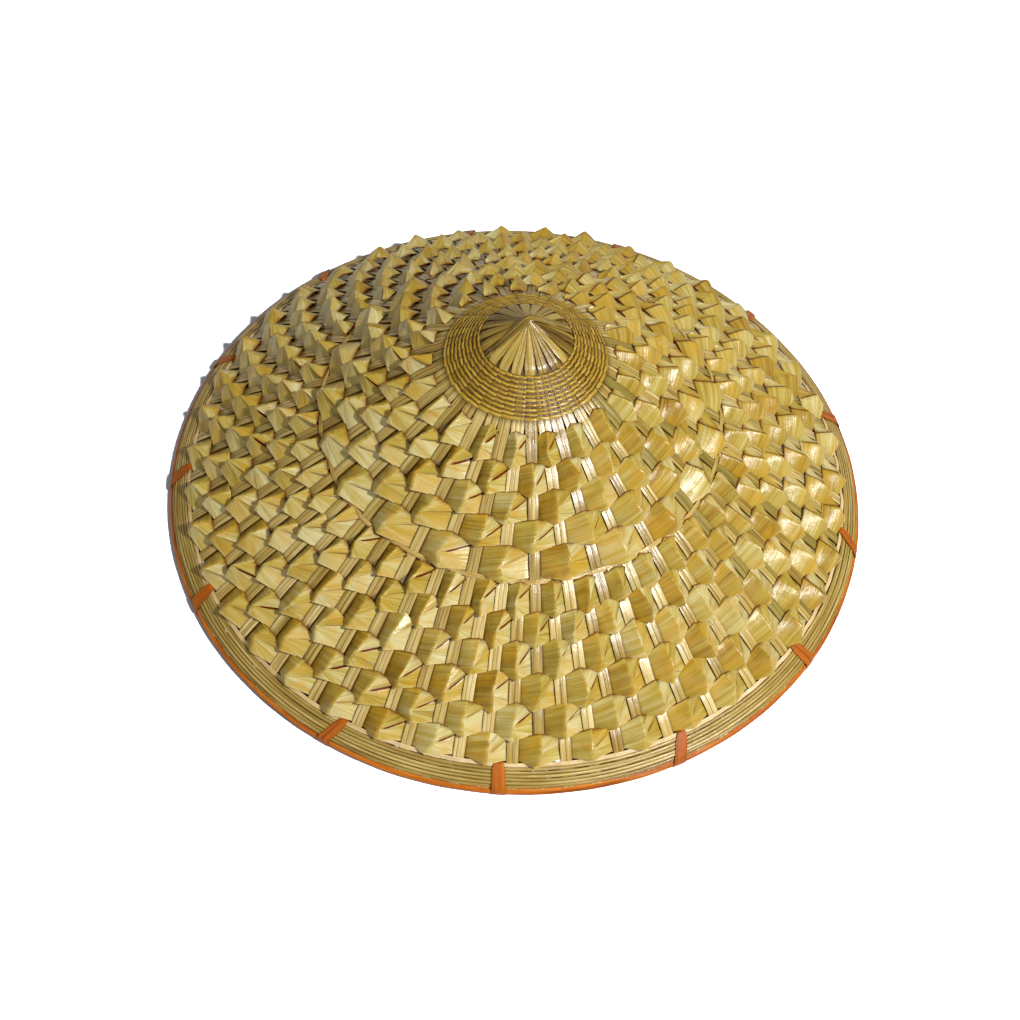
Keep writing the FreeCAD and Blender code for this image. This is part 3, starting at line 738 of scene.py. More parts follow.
def weft_edge_and_shade(row, luck):
    """Edge lines and painted shade at each face corner; corners run lower left, lower right,
    upper right, upper left.
    """
    edge_and_shade = np.zeros((row.count, COLS, NET_ROWS - 1, 4))
    lower, upper = (0, 1), (2, 3)
    on_left, on_right = (0, 3), (1, 2)
    every_cell, every_row = range(row.count), range(NET_ROWS - 1)
    below_slit = SLIT_ROW - 1

    def darken(cells, cols, rows, corners, level):
        part = np.ix_(cells, cols, rows, corners)
        edge_and_shade[part] = np.minimum(edge_and_shade[part], level)

    # the slit: painted shade on the tuck, fainter painted shade below it, and a lip with a
    # painted shade line or a pale edge line
    lip = np.where(luck[:, 7] < 0.55, -0.55, 0.9)
    for start, low, high in ((C_SLIT, 0, 3), (C_SLIT - 1, 1, 2)):
        cols = slice(start, C_EDGE)
        edge_and_shade[:, cols, below_slit, low] = -1.0
        edge_and_shade[:, cols, below_slit, high] = -1.0
        edge_and_shade[:, cols, below_slit - 1, high] = -0.30
        edge_and_shade[:, cols, SLIT_ROW, low] = lip[:, None]
    # painted shade along the arms
    darken(every_cell, [C_LEFT], every_row, on_left, -0.9)
    darken(every_cell, [C_EDGE - 1], every_row, on_right, -0.9)
    # a painted shade line along the back of the fold round the +X side
    near = smooth((row.azimuths - 50.0) / 40.0) * (1 - smooth((row.azimuths - 138.0) / 34.0))
    shade_lined = np.flatnonzero(luck[:, 4] < 0.85 * near)
    whole_rows = [j for j in every_row if j != below_slit]
    darken(shade_lined, [C_RIGHT - 1, C_RIGHT], whole_rows, on_left, -0.95)
    darken(shade_lined, [C_RIGHT - 2, C_RIGHT - 1], whole_rows, on_right, -0.95)
    # pale bottom edge line; top edge with a painted shade line or a pale line
    edge_and_shade[:, C_LEFT:C_EDGE, 0, :2] = 1.0
    top = np.where(luck[:, 6] < 0.8, -1.0, 0.8)
    edge_and_shade[:, C_LEFT:C_EDGE, -1, 2:] = top[:, None, None]
    shaded = np.flatnonzero(top < 0)
    darken(shaded, range(C_RIGHT, C_EDGE), [NET_ROWS - 2], lower, -0.6)
    darken(shaded, range(C_RIGHT, C_EDGE), [NET_ROWS - 3], upper, -0.6)
    # painted shade on the columns hidden below the arms
    edge_and_shade[:, :C_LEFT] = -0.85
    edge_and_shade[:, C_EDGE:] = -0.85
    edge_and_shade[:, C_LEFT - 1, :, 1:3] = -0.9
    edge_and_shade[:, C_EDGE, :, ::3] = -0.9
    return edge_and_shade


def weft_grain(row, corners, fans, luck):
    """UV, tint and grain offset of every face."""
    uv = corners[..., :2] * row.size
    # left facet: grain turned a little
    angle = (0.10 + 0.16 * luck[:, 0])[:, None, None, None]
    x, y = np.moveaxis(uv[:, C_LEFT:C_RIGHT].copy(), -1, 0)
    uv[:, C_LEFT:C_RIGHT, ..., 0] = x * np.cos(angle) + y * np.sin(angle)
    uv[:, C_LEFT:C_RIGHT, ..., 1] = -x * np.sin(angle) + y * np.cos(angle)
    # right facet: grain fans out like the pleats
    spokes = uv[:, C_RIGHT:C_EDGE] - (fans * row.size)[:, None, None, None]
    x, y = np.moveaxis(spokes, -1, 0)
    uv[:, C_RIGHT:C_EDGE, ..., 0] = np.hypot(x, y)
    uv[:, C_RIGHT:C_EDGE, ..., 1] = np.arctan2(y, x) * 7.5

    tint = np.zeros(corners.shape[:3] + (3,))
    offset = np.zeros(corners.shape[:3] + (2,))
    luck = luck.T
    everything = slice(None)
    right = slice(C_RIGHT, C_EDGE)
    # columns, rows, tone, hue, offset along and across; later lines cover earlier ones
    for cols, rows, tone, hue, along, across in (
            (everything, everything, 0.20 + 0.5 * luck[1], 0.3 + 0.4 * luck[2],
             np.arange(row.count) * row.size[0], np.zeros(row.count)),
            (slice(C_LEFT, C_RIGHT), everything, 0.10 + 0.6 * luck[1], 0.25 + 0.55 * luck[2],
             luck[3] * 90, luck[4] * 50),
            # the right facet's tones start higher than the left facet's: painted light on the
            # side facing the lamp at the front
            (right, slice(SLIT_ROW, None), 0.40 + 0.55 * luck[3], 0.25 + 0.55 * luck[5],
             luck[1] * 90, luck[2] * 50),
            (right, slice(SLIT_ROW), 0.40 + 0.6 * luck[6], 0.25 + 0.6 * luck[7],
             luck[2] * 90, luck[0] * 50)):
        tint[:, cols, rows] = np.stack([tone, 0 * tone, hue], 1)[:, None, None]
        offset[:, cols, rows] = np.stack([along, across], 1)[:, None, None]
    return uv, tint, offset


def build_weft_row(row):
    rng = np.random.default_rng(row.seed)
    cells = [fold_net(rng, row, azimuth) for azimuth in row.azimuths]
    nets, tucked, fans = (np.array(part) for part in zip(*cells))
    luck = np.random.default_rng(row.seed + 999).random((row.count, 8))

    # the tucked edge has its own vertices, listed column by column after the net's
    shape = (row.count, COLS, NET_ROWS)
    total = row.count * COLS * NET_ROWS
    index = np.arange(total).reshape(shape)
    index = np.concatenate([index, np.roll(index[:, :1], -1, axis=0)], axis=1)
    low_index = index[:, :, SLIT_ROW].copy()
    tuck_cols = COLS - C_SLIT
    tuck_index = total + np.arange(tuck_cols * row.count).reshape(tuck_cols, row.count)
    low_index[:, C_SLIT:COLS] = tuck_index.T
    low_edge = nets[:, :, SLIT_ROW].copy()
    low_edge[:, C_SLIT:COLS] = tucked[:, C_SLIT:]
    net_verts = row.to_space(nets)[:, :COLS].reshape(-1, 3)
    tuck_verts = row.to_space(tucked[:, C_SLIT:]).transpose(1, 0, 2).reshape(-1, 3)

    uv, tint, offset = weft_grain(row, face_corners(nets, low_edge), fans, luck)
    bag = Bag()
    bag.sheet(np.concatenate([net_verts, tuck_verts]),
              face_corners(index, low_index).reshape(-1, 4), thick=0.38,
              uv=uv.reshape(-1, 4, 2), tint=tint.reshape(-1, 3), offset=offset.reshape(-1, 2),
              edge=weft_edge_and_shade(row, luck).reshape(-1, 4), inside=0.25)
    name = "weft_row_%02d" % row.number
    bag.make_object(name + "_folded", WEFT, "folded_splint", name, sharp=50)


# ------------------------------------------------------------------ radial splints
# hue of the greener arms, by arm index
OLIVE = {5: 0.5, 6: 0.0, 7: 0.3, 8: 0.0, 9: 0.3, 10: 0.12, 3: 0.15, 12: 0.1, 27: 0.15, 31: 0.1}


def strip(bag, azimuth, radii, width, height, side, rng, tint, thick=0.42, crown=0.10,
          painted_shade=0.0):
    """One thin splint along the slope; crown is the drop of its edges."""
    across = np.array([-1, -0.72, 0, 0.72, 1])
    width, height, side = (np.broadcast_to(a, radii.shape)[:, None]
                           for a in (width, height, side))
    side = side + width / 2 * across
    net = on_cone(azimuth, radii[:, None], height - crown * np.abs(across) ** 3, side)
    run = np.r_[0, np.cumsum(np.abs(np.diff(radii)))] / COS_SLOPE
    # both sides of the splint get painted shade, and more painted shade comes from the last
    # argument
    dark_left, dark_right = -0.72 - 0.28 * rng.random(2)
    edge = np.minimum([dark_left, 0, 0, 0, dark_right], np.reshape(painted_shade, (-1, 1)))
    edge = np.broadcast_to(edge, side.shape)
    # rows are reversed so that the outer face looks outwards
    bag.grid(net[::-1], thick, run[::-1, None], side[::-1], tint, grain_shift(rng),
             edge=edge[::-1])


def arm_height(index, added, radii):
    """Over the weft where the arm shows, a little lower below a float."""
    height = np.zeros_like(radii)
    for number, (inner, outer) in enumerate(ROWS, 1):
        if number <= INNER_ROWS:
            seen = not added and (index + number) % 2 == 1
        else:
            seen = added == (number % 2 == 1)
        share = (radii - inner) / (outer - inner)
        arch = (0.62 if seen else -0.12) * np.sin(np.pi * np.clip(share, 0, 1)) ** 0.6
        height = np.where((share > 0) & (share < 1), arch, height)
    return height


def arm_pieces(rng):
    """Side offset and width of the one to three thin splints that make up an arm."""
    total = ARM_WIDTH + rng.normal() * 0.25
    count = rng.choice([2, 2, 3, 3, 1], p=[0.25, 0.15, 0.3, 0.15, 0.15])
    rng.random(count - 1)      # not used; keeps the later draws in place
    width = np.full(count, total / count) * (1 + 0.22 * (rng.random(count) - 0.5))
    width *= total / width.sum()
    x = np.r_[0, np.cumsum(width)] - total / 2
    return [((x[i] + x[i + 1]) / 2, width[i] - 0.14) for i in range(count)]


def piece_tint(rng, tone, index):
    tone = np.clip(tone + rng.normal() * 0.12, 0, 1)
    hue = OLIVE.get(index)
    if hue is None or rng.random() >= 0.8:
        hue = 0.25 + 0.75 * rng.random()
    return tone, 0.0, hue


def long_arm(bag, index, rng):
    radii = np.concatenate([np.arange(ARM_START, 48, 1.6), np.arange(48.5, ARM_END, 2.0),
                            [ARM_END]])
    quarter = math.pi / 2 if index % 2 == 0 else -math.pi / 2
    weave = np.sin((radii - TWINE_FIRST) / TWINE_PITCH * math.pi + quarter) * 0.12
    height = np.where(radii < 47, weave, arm_height(index, False, radii))
    pieces = arm_pieces(rng)
    tone = 0.25 + 0.6 * rng.random()
    narrow = np.interp(radii, [ARM_START, 45.8, 48.2, 52, 60], [0.60, 1.06, 1.13, 1.10, 1.0])
    # painted shade on the arm where it runs under the collar strands, fading out past the collar
    painted_shade = np.interp(radii, [25, 26, 27.4, 45.4, 46.6, 47.6],
                     [-1.0, -1.0, -0.88, -0.88, -0.55, 0.0])
    for side, width in pieces:
        lift = rng.normal() * 0.05
        tint = piece_tint(rng, tone, index)
        strip(bag, FIRST + PITCH * index, radii, width * narrow, height + lift,
              side * narrow, rng, tint, painted_shade=painted_shade)


def added_arm(bag, index, rng):
    radii = np.concatenate([np.arange(ADDED_START, ARM_END, 2.0), [ARM_END]])
    height = np.where(radii < 118, -0.1, arm_height(index, True, radii))
    tone = 0.25 + 0.6 * rng.random()
    for side, width in arm_pieces(rng):
        tint = piece_tint(rng, tone, index)
        lift = rng.normal() * 0.05
        strip(bag, FIRST + PITCH * (index + 0.5), radii, width, height + lift, side, rng, tint)


def peak_arm(bag, index, layer, rng):
    """An arm above the collar; odd layers lie low, even layers lie over them."""
    azimuth = FIRST + PITCH * index
    low = layer % 2 == 1
    top = cone_z(0) + 0.3
    layer_step = 0.42
    base = top - layer_step * 20
    if low:
        peak, lift = base + layer_step * ((layer - 1) // 2), -0.1
    else:
        peak, lift = base + layer_step * (10 + (layer - 2) // 2), 0.75
    radii = np.array([0.0, 0.8, 2.0, 3.5, 5.5, 8.0, 11.0, 14.0, 17.0, 20.0, 22.0, 23.5, 24.6,
                      25.2, 26.2, 27.0, 28.0])
    # radius and height off the cone where the arm comes down to the collar
    landing = [(22.0, lift), (23.5, lift), (26.2, 0.0), (28.0, 0.0)]
    z = np.interp(radii, [0] + [r for r, _ in landing],
                  [peak] + [cone_z(r) + h / COS_SLOPE for r, h in landing])
    z[:3] = [peak, peak - 0.05, z[2] * 0.7 + peak * 0.3]
    height = (z - cone_z(radii)) * COS_SLOPE
    spread = 0.24 if low else 0.278      # width per millimetre of radius
    width = np.interp(radii, [0, 3.5, 5.5, 21, 25.2, 26.4, 28],
                      [1.2, 1.4, 1.75, spread * 21.5, spread * 20.0, 3.8, 2.6])
    width = np.minimum(width * (0.93 + 0.12 * rng.random()), 8.0)

    def sway():
        return rng.normal() * 0.15 * radii / 25

    def tint():
        return 0.15 + 0.8 * rng.random(), 1.0, rng.random()

    if low:
        sag = np.interp(radii, [0, 8, 20, 24, 26], [0, 0.3, 0.5, 0.3, 0])
        # the low arms get the darkest crown tone: painted shade in the gaps between the upper
        # arms
        strip(bag, azimuth, radii, width, height - sag, sway(), rng, (0.0, 1.0, 0.5),
              thick=0.24, crown=0.14)
    elif rng.random() < 0.4:      # some arms are split in two along their length
        cut = 0.35 + 0.3 * rng.random()
        for start, end in ((0, cut), (cut, 1)):
            strip(bag, azimuth, radii, width * (end - start) - 0.12,
                  height + rng.normal() * 0.06, width * ((start + end) / 2 - 0.5), rng,
                  tint(), thick=0.24, crown=0.12)
    else:
        strip(bag, azimuth, radii, width, height, sway(), rng, tint(), thick=0.24, crown=0.2)


def over_peak(bag, rng):
    """Two half splints side by side that bow over the peak without touching it."""
    angle = math.radians(FIRST + PITCH * (TOP_PAIR + ARMS // 2))
    x = np.concatenate([np.linspace(-28, -12, 15), np.linspace(-11, 11, 31),
                        np.linspace(12, 28, 15)])
    reach = np.abs(x)
    arch = (cone_z(0) + 1.25 - (np.sqrt((SLOPE * x) ** 2 + 5.0) - math.sqrt(5.0))
            - 3.0 * smooth(reach / 22.0))
    landing = np.interp(reach, [22, 23.5, 26.2, 28],
                        [np.interp(22.0, x, arch), cone_z(23.5) + 1.6, cone_z(26.2) + 0.2,
                         cone_z(28)])
    z = np.where(reach <= 22, arch, landing)
    shift = np.interp(x, [-28, -10, 0, 10, 26, 28], [0.0, 0.6, 1.1, 1.5, 1.6, 1.2])
    across = np.linspace(-1, 1, 7)
    run = distances(np.column_stack([x, z]))
    # side, width factor, extra arch, tone
    for side, wider, bow, tone in ((-1, 0.97, 0.0, 0.30), (1, 1.04, 0.15, 0.52)):
        width = np.interp(reach, [0, 8, 23.5, 25.6, 28], [2.35, 2.45, 2.5, 1.7, 1.4]) * wider
        middle = shift + side * (width / 2 + 0.30)
        heights = (z[:, None] - 0.10 * side * across - 0.42 * np.abs(across) ** 2.4
                   + bow * np.cos(x / 9.0)[:, None])
        net = around(angle, x[:, None], middle[:, None] + width[:, None] / 2 * across, heights)
        bag.grid(net, 0.42, run[:, None], across * 1.2, (tone, 1.0, 0.75), grain_shift(rng),
                 edge=np.abs(across) > 0.99)


def build_arms():
    rng = np.random.default_rng(7)
    lower, upper, pair, added = Bag(), Bag(), Bag(), Bag()
    # order in which the arms are laid over the peak: 0 is the top pair
    layers = [(index - TOP_PAIR) % (ARMS // 2) for index in range(ARMS)]
    bags = [pair if k == 0 else (lower if k % 2 else upper) for k in layers]
    for index in range(ARMS):
        long_arm(bags[index], index, rng)
    for index in range(ARMS):
        added_arm(added, index, rng)
    for index in range(ARMS):
        if layers[index] > 0:
            peak_arm(bags[index], index, layers[index], rng)
    over_peak(pair, rng)
    for bag, name, replaces in (
            (lower, "long_splints_lower_set", "long_splints_lower"),
            (upper, "long_splints_upper_set", "long_splints_upper"),
            (pair, "peak_splint_pair_bent", "peak_splint_pair"),
            (added, "added_splints_set", "added_splints")):
        bag.make_object(name, STAKE, "bamboo_splint", replaces)


# ------------------------------------------------------------------ collar and binder
STRAND_AZIMUTH = full_turn(ARMS * 10)
STRAND_ANGLE = np.radians(STRAND_AZIMUTH)


def ring_strand(bag, radius, height, width, thick, rng, tint, crown=0.16, dark_edge=-0.82):
    """A thin strand round the cone; radius and height are given at each station."""
    across = np.linspace(-1, 1, 5)
    net = on_cone(STRAND_AZIMUTH[:, None], radius[:, None] - width / 2 * across * COS_SLOPE,
                  height[:, None] - crown * np.abs(across) ** 2.5)
    # dark_edge paints shade along both edges of the strand, in the gaps beside it
    bag.grid(net, thick, (STRAND_ANGLE * radius.mean())[:, None], across * width / 2, tint,
             grain_shift(rng), closed=True,
             edge=np.where(np.abs(across) > 0.99, dark_edge, 0.0))


def build_twining():
    """Pairs of strands that cross between the arms."""
    bag = Bag()
    rng = np.random.default_rng(21)
    for turn in range(TWINE_ROUNDS):
        last = turn == TWINE_ROUNDS - 1
        for strand in (0, 1):
            luck = rng.random(3)
            phase = (STRAND_AZIMUTH - FIRST) / PITCH * math.pi + strand * math.pi
            radius = (TWINE_FIRST + TWINE_PITCH * turn + 0.13 * np.sin(phase)
                      + 0.16 * np.sin(STRAND_ANGLE * 5 + 6 * luck[0]))
            wave = np.clip(np.cos(phase) * 0.9 + 0.22, -1, 1)
            height = (0.28 + 0.60 * np.sign(wave) * np.abs(wave) ** 0.6
                      + 0.08 * np.sin(STRAND_ANGLE * 11 + 6 * luck[1]))
            ring_strand(bag, radius, height, (2.1 if last else 1.72) + 0.2 * (luck[0] - 0.5),
                        0.42, rng, crown=0.40,
                        tint=(0.42 + 0.16 * luck[1] + 0.12 * last, 0.0, 0.35 + 0.3 * luck[2]))
    bag.make_object("crown_twining_strands", TWINE, "fine_splint", "crown_twining_rounds")


def build_binder():
    """A narrow strand over a wider one, between weft rows 5 and 6."""
    bag = Bag()
    rng = np.random.default_rng(33)
    arm_wave = np.cos((STRAND_AZIMUTH - FIRST) / PITCH * 2 * math.pi)
    ring_strand(
        bag,
        116.4 + 0.5 * np.sin(STRAND_ANGLE * 7 + 1) + 0.25 * np.sin(STRAND_ANGLE * 23),
        1.0 + 0.3 * arm_wave + 0.15 * np.sin(STRAND_ANGLE * 13),
        width=2.5, thick=0.4, rng=rng, tint=(rng.random(), 0.0, rng.random()), dark_edge=-0.3)
    ring_strand(
        bag, 116.2 + 0.3 * np.sin(STRAND_ANGLE * 9 + 2), -0.55 + 0.25 * arm_wave,
        width=4.6, thick=0.4, rng=rng, tint=(0.15, 0.0, 0.3), dark_edge=-0.6)
    bag.make_object("binder_splint_wound", BINDER, "fine_splint", "binder_splint")


# ------------------------------------------------------------------ rim
def build_rim_filler(rng):
    """Short strips end to end round the rim, each one's end lapping over the next."""
    bag = Bag()
    across = np.linspace(-1, 1, 4)
    start = 0.0
    while start < 360:
        end = min(start + 20 + 16 * rng.random(), 360.0)
        if 360 - end < 8:
            end = 360.0
        azimuth = np.linspace(start + 0.25, end + 0.9 if end < 360 else 359.9,
                              int((end - start) / 0.8) + 4)[:, None]
        middle = 197.9 + 0.25 * (rng.random() - 0.5)
        height = (0.75 + 0.28 * np.cos((azimuth - FIRST) / (PITCH / 2) * 2 * math.pi)
                  + np.linspace(0, 0.35, len(azimuth))[:, None] - 0.05 * across ** 2)
        net = on_cone(azimuth, middle - 1.15 * across * COS_SLOPE, height)
        bag.grid(net, 0.35, np.radians(azimuth) * 198, across * 1.2,
                 (0.4 + 0.5 * rng.random(), 0.0, 0.3 + 0.7 * rng.random()), grain_shift(rng))
        start = end
    bag.make_object("rim_filler_strips", FILLER, "rim_splint", "rim_filler_strip")


def build_rim_band(rng):
    """Six splints side by side round the rim."""
    bag = Bag()
    count = 6
    borders = np.linspace(198.95, 208.3, count + 1)
    azimuth = full_turn(360)[:, None]
    angle = np.radians(azimuth)
    across = np.linspace(-1, 1, 7)
    for i in range(count):
        luck = rng.random(4)
        middle = (borders[i] + borders[i + 1]) / 2
        width = (borders[i + 1] - borders[i]) / COS_SLOPE - 0.08
        radius = (middle + 0.10 * np.sin(angle * 3 + 6 * luck[0])
                  + 0.05 * np.sin(angle * 17 + 6 * luck[1]))
        height = (1.45 + 0.12 * np.sin(angle * 5 + 6 * luck[2]) + 0.45 * (luck[3] - 0.5)
                  - 0.35 * (i == count - 1) + 0.05 * np.sin(angle * 29 + i))
        net = on_cone(azimuth, radius - width / 2 * across * COS_SLOPE,
                      height - 0.38 * np.abs(across) ** 3.0)
        # the outer edges of each splint get painted shade, in the gaps between splints
        bag.grid(net, 0.95, angle * middle, across * width / 2,
                 (0.12 + 0.8 * luck[3], 0.0, 0.25 + 0.75 * luck[0]),
                 (luck[1] * 90, luck[2] * 60), closed=True,
                 edge=np.where(np.abs(across) > 0.99, -1.0, 0.0))
    bag.make_object("rim_band_six_splints", BAND, "rim_splint", "rim_band_splints")


# section of the lower hoop: plan radius, z
HOOP_SECTION = np.array([
    (203.1, 1.6), (203.9, 0.65), (206.2, 0.50), (208.2, 0.62), (209.8, 1.2), (210.6, 2.2),
    (210.65, 3.4), (209.9, 4.4), (206.5, 5.3), (204.4, 6.8), (203.3, 7.0), (203.0, 4.6),
])


def build_lower_hoop():
    """A bent strip of brown bamboo with its rounded skin outwards."""
    bag = Bag()
    angle = np.radians(full_turn(480))[:, None]
    wobble = (0.10 * np.sin(angle * 4 + 1.0) + 0.06 * np.sin(angle * 19)
              + 0.05 * np.sin(angle * 47 + 2))
    net = around(angle, HOOP_SECTION[:, 0] + wobble, 0.0, HOOP_SECTION[:, 1])
    bag.ring(net, angle * 208, distances(HOOP_SECTION), (0.5, 0.0, 0.5))
    bag.make_object("rim_lower_hoop_bent", HOOP, "brown_bamboo", "rim_lower_hoop", sharp=60)


# azimuths of the lashings where they cross the outer edge
LASHINGS = [0.5, 28.5, 56.5, 79.5, 107.0, 135.0, 163.7, 192.0, 221.0, 249.5, 276.0, 300.7, 332.7]
# path of a lashing over the cone: plan radius, height off the cone, share of the slant
LASH_OVER = [
    (196.75, -0.6, 0), (196.85, 0.8, 0), (197.2, 1.75, 0.02), (198.3, 2.12, 0.08),
    (200.5, 2.2, 0.25), (203.5, 2.2, 0.5), (206.5, 2.18, 0.75), (208.3, 2.05, 0.92),
]
# and back under the rim: plan radius, z, share of the slant
LASH_UNDER = [
    (210.35, 5.2, 1), (211.0, 3.7, 1), (210.95, 2.2, 1), (210.4, 0.75, 1), (209.0, 0.12, 1),
    (207.6, 0.02, 0.95), (205.0, 0.02, 0.75), (203.2, 0.1, 0.55), (202.45, 0.8, 0.4),
    (201.4, 2.6, 0.3), (199.4, 6.0, 0.15), (197.4, 9.2, 0.05),
]


def subdivided(loop, parts=3):
    """A closed list of stations with each span cut into equal parts."""
    following = np.roll(loop, -1, 0)
    steps = [mix(loop, following, k / parts) for k in range(parts)]
    return np.stack(steps, 1).reshape(-1, *loop.shape[1:])


def build_lashings():
    """Flat straps round the whole rim, slanting from the gap they pass through."""
    bag = Bag()
    rng = np.random.default_rng(55)
    path = np.array([(*off_cone(r, h), share) for r, h, share in LASH_OVER] + LASH_UNDER)
    slant = path[:, 2]
    rim = subdivided(path[:, :2])
    tangent = np.roll(rim, -1, 0) - np.roll(rim, 1, 0)
    outward = unit(np.stack([-tangent[:, 1], tangent[:, 0]], 1))
    across = np.linspace(-1, 1, 9)
    first_gap = FIRST + PITCH / 4
    gap_pitch = PITCH / 2
    for number, azimuth in enumerate(LASHINGS):
        gap = first_gap + round((azimuth - first_gap) / gap_pitch) * gap_pitch
        half_width = np.interp(slant, [0, 0.25, 1], [2.4, 3.5, 3.75])
        half_width = subdivided(half_width * (1 + 0.05 * rng.normal()))
        angle = np.radians(subdivided(mix(gap, azimuth, slant)))[:, None]
        # rounded edges and shallow fibre ridges
        bulge = 0.10 * (1 - np.abs(across) ** 4) + 0.05 * np.cos(across * 9 + number)
        radius = np.minimum(rim[:, :1] + outward[:, :1] * bulge, 210.7)
        z = np.maximum(rim[:, 1:] + outward[:, 1:] * bulge, 0.0)
        side = half_width[:, None] * across
        bag.grid(around(angle, radius, side, z), 0.45, distances(rim)[:, None], side,
                 (0.3 + 0.5 * rng.random(), 0.0, 0.3 + 0.7 * rng.random()), grain_shift(rng),
                 closed=True, edge=np.abs(across) > 0.99)
    bag.make_object("rim_lashing_straps", LASHING, "brown_binding", "rim_lashings", sharp=50)


# ------------------------------------------------------------------ head ring
BAND_OUTER = 93.4
BAND_INNER = 92.0
# section of the band: z, cut from the outer face, cut from the inner face
BAND_SECTION = np.array([
    (56.0, 0.45, 0.45), (56.35, 0.12, 0.12), (57.2, 0, 0), (60, 0, 0), (64, 0.02, 0),
    (68, 0.03, 0), (72, 0.02, 0), (75.5, 0, 0), (78.3, 0, 0), (79.15, 0.12, 0.12),
    (79.5, 0.45, 0.45),
])


def build_head_band():
    """A flat strip bent round, thicker on its outer face between azimuths 150 and 196."""
    bag = Bag()
    azimuth = full_turn(480)[:, None]
    angle = np.radians(azimuth)
    z, outer_cut, inner_cut = BAND_SECTION.T
    radius = np.concatenate([BAND_OUTER - outer_cut, BAND_INNER + inner_cut[::-1]])
    lap = 0.18 * smooth((azimuth - 150) / 1.0) * (1 - smooth((azimuth - 196) / 1.5))
    is_outer = np.arange(len(radius)) < len(z)
    radius = radius + np.where(is_outer, lap, 0) + 0.08 * np.sin(angle * 3)
    net = around(angle, radius, 0.0, np.concatenate([z, z[::-1]]))
    bag.ring(net, angle * 93, np.concatenate([z, z[::-1] + 40]), (0.55, 0.0, 0.4))
    bag.make_object("head_ring_bamboo_band", HEAD_RING, "ring_bamboo", "head_ring_band",
                    sharp=55)


def build_cane_hoop():
    """A round cane with five nodes, outside the band's lower edge."""
    bag = Bag()
    azimuth = np.arange(0, 360, 0.75)
    angle = np.radians(azimuth)
    nodes = sum(np.exp(-((azimuth - at + 180) % 360 - 180) ** 2 / 2.2)
                for at in (18, 96, 171, 243, 322))
    path = around(angle, 95.45 + 0.12 * np.sin(angle * 4 + 1), 0.0,
                  58.0 + 0.15 * np.sin(angle * 3))
    bag.tube(path, 1.62 + 0.10 * nodes, sides=14, closed=True, tint=(0.6, 0.0, 0.5))
    bag.make_object("head_ring_cane_hoop", HEAD_RING, "ring_bamboo", "head_ring_hoop", sharp=60)


def build_ring_ties():
    """Seven cord loops from the band up through the cone."""
    bag = Bag()
    count = 7
    inner, outer = 91.1, 94.6
    half_width = 4.3
    low = 74.5
    high = cone_z(outer) + 1.0 / COS_SLOPE
    for k in range(count):
        angle = math.radians(FIRST + 360.0 / count * k)
        loop = [around(angle, radius, side * half_width, z) for side, radius, z in (
            (-1, inner, low), (-1, outer, low), (-1, outer, high),
            (1, outer, high), (1, outer, low), (1, inner, low))]
        bag.rope(loop, 0.52, turns_per_mm=0.5, step=0.4, closed=True)
    bag.make_object("head_ring_cord_ties", CORD, "cord", "head_ring_ties", sharp=70)


# ------------------------------------------------------------------ chin cord
STIRRUP_INNER, STIRRUP_OUTER = 90.4, 98.55
STIRRUP_TOP, STIRRUP_BOTTOM = 61.2, 52.0
CORD_TILT = math.radians(15.0)      # below the level, towards +Y
CORD_START = np.array([0, 0, STIRRUP_BOTTOM])
CORD_ACROSS = np.array([1.0, 0, 0])
CORD_ALONG = np.array([0, math.cos(CORD_TILT), -math.sin(CORD_TILT)])
CORD_ABOVE = np.array([0, math.sin(CORD_TILT), math.cos(CORD_TILT)])


def in_cord(side, along, above=0.0):
    """Points in the tilted plane of the chin cord."""
    side, along, above = np.broadcast_arrays(side, along, above)
    return (CORD_START + side[..., None] * CORD_ACROSS + along[..., None] * CORD_ALONG
            + above[..., None] * CORD_ABOVE)


def build_stirrups():
    """A loop of cord round the head ring at +X and -X."""
    bag = Bag()
    for side in (-1, 1):
        inner, outer = side * STIRRUP_INNER, side * STIRRUP_OUTER
        bag.rope([(inner, 0, STIRRUP_TOP), (outer, 0, STIRRUP_TOP),
                  (outer, 0, STIRRUP_BOTTOM), (inner, 0, STIRRUP_BOTTOM)],
                 0.92, turns_per_mm=0.3, step=0.4, closed=True)
    bag.make_object("chin_cord_stirrup_loops", CORD, "cord", "chin_cord_stirrups", sharp=70)


# course of one half of the chin cord: distance from the middle, distance along
CORD_COURSE = [(94.3, 2.6), (60, 46), (30, 84), (8, 112), (2.0, 119.5), (1.42, 124),
               (1.42, 178.0)]


def build_chin_cord():
    bag = Bag()
    angle = np.linspace(0, 2 * math.pi, 25)[:-1]
    for side in (-1, 1):
        # three turns round the stirrup's lower bar
        for turn in (-1.05, 0.0, 1.05):
            loop = in_cord(side * 95.0 + turn, np.cos(angle) * 2.05, np.sin(angle) * 2.05)
            bag.tube(loop, 0.78, closed=True)
        bag.rope([in_cord(side * x, along) for x, along in CORD_COURSE], 1.3,
                 turns_per_mm=0.14, step=0.7, phase=0.4 * side)
    bag.make_object("chin_cord_twisted", CORD, "cord", "chin_cord", body="chin_cord", sharp=70)


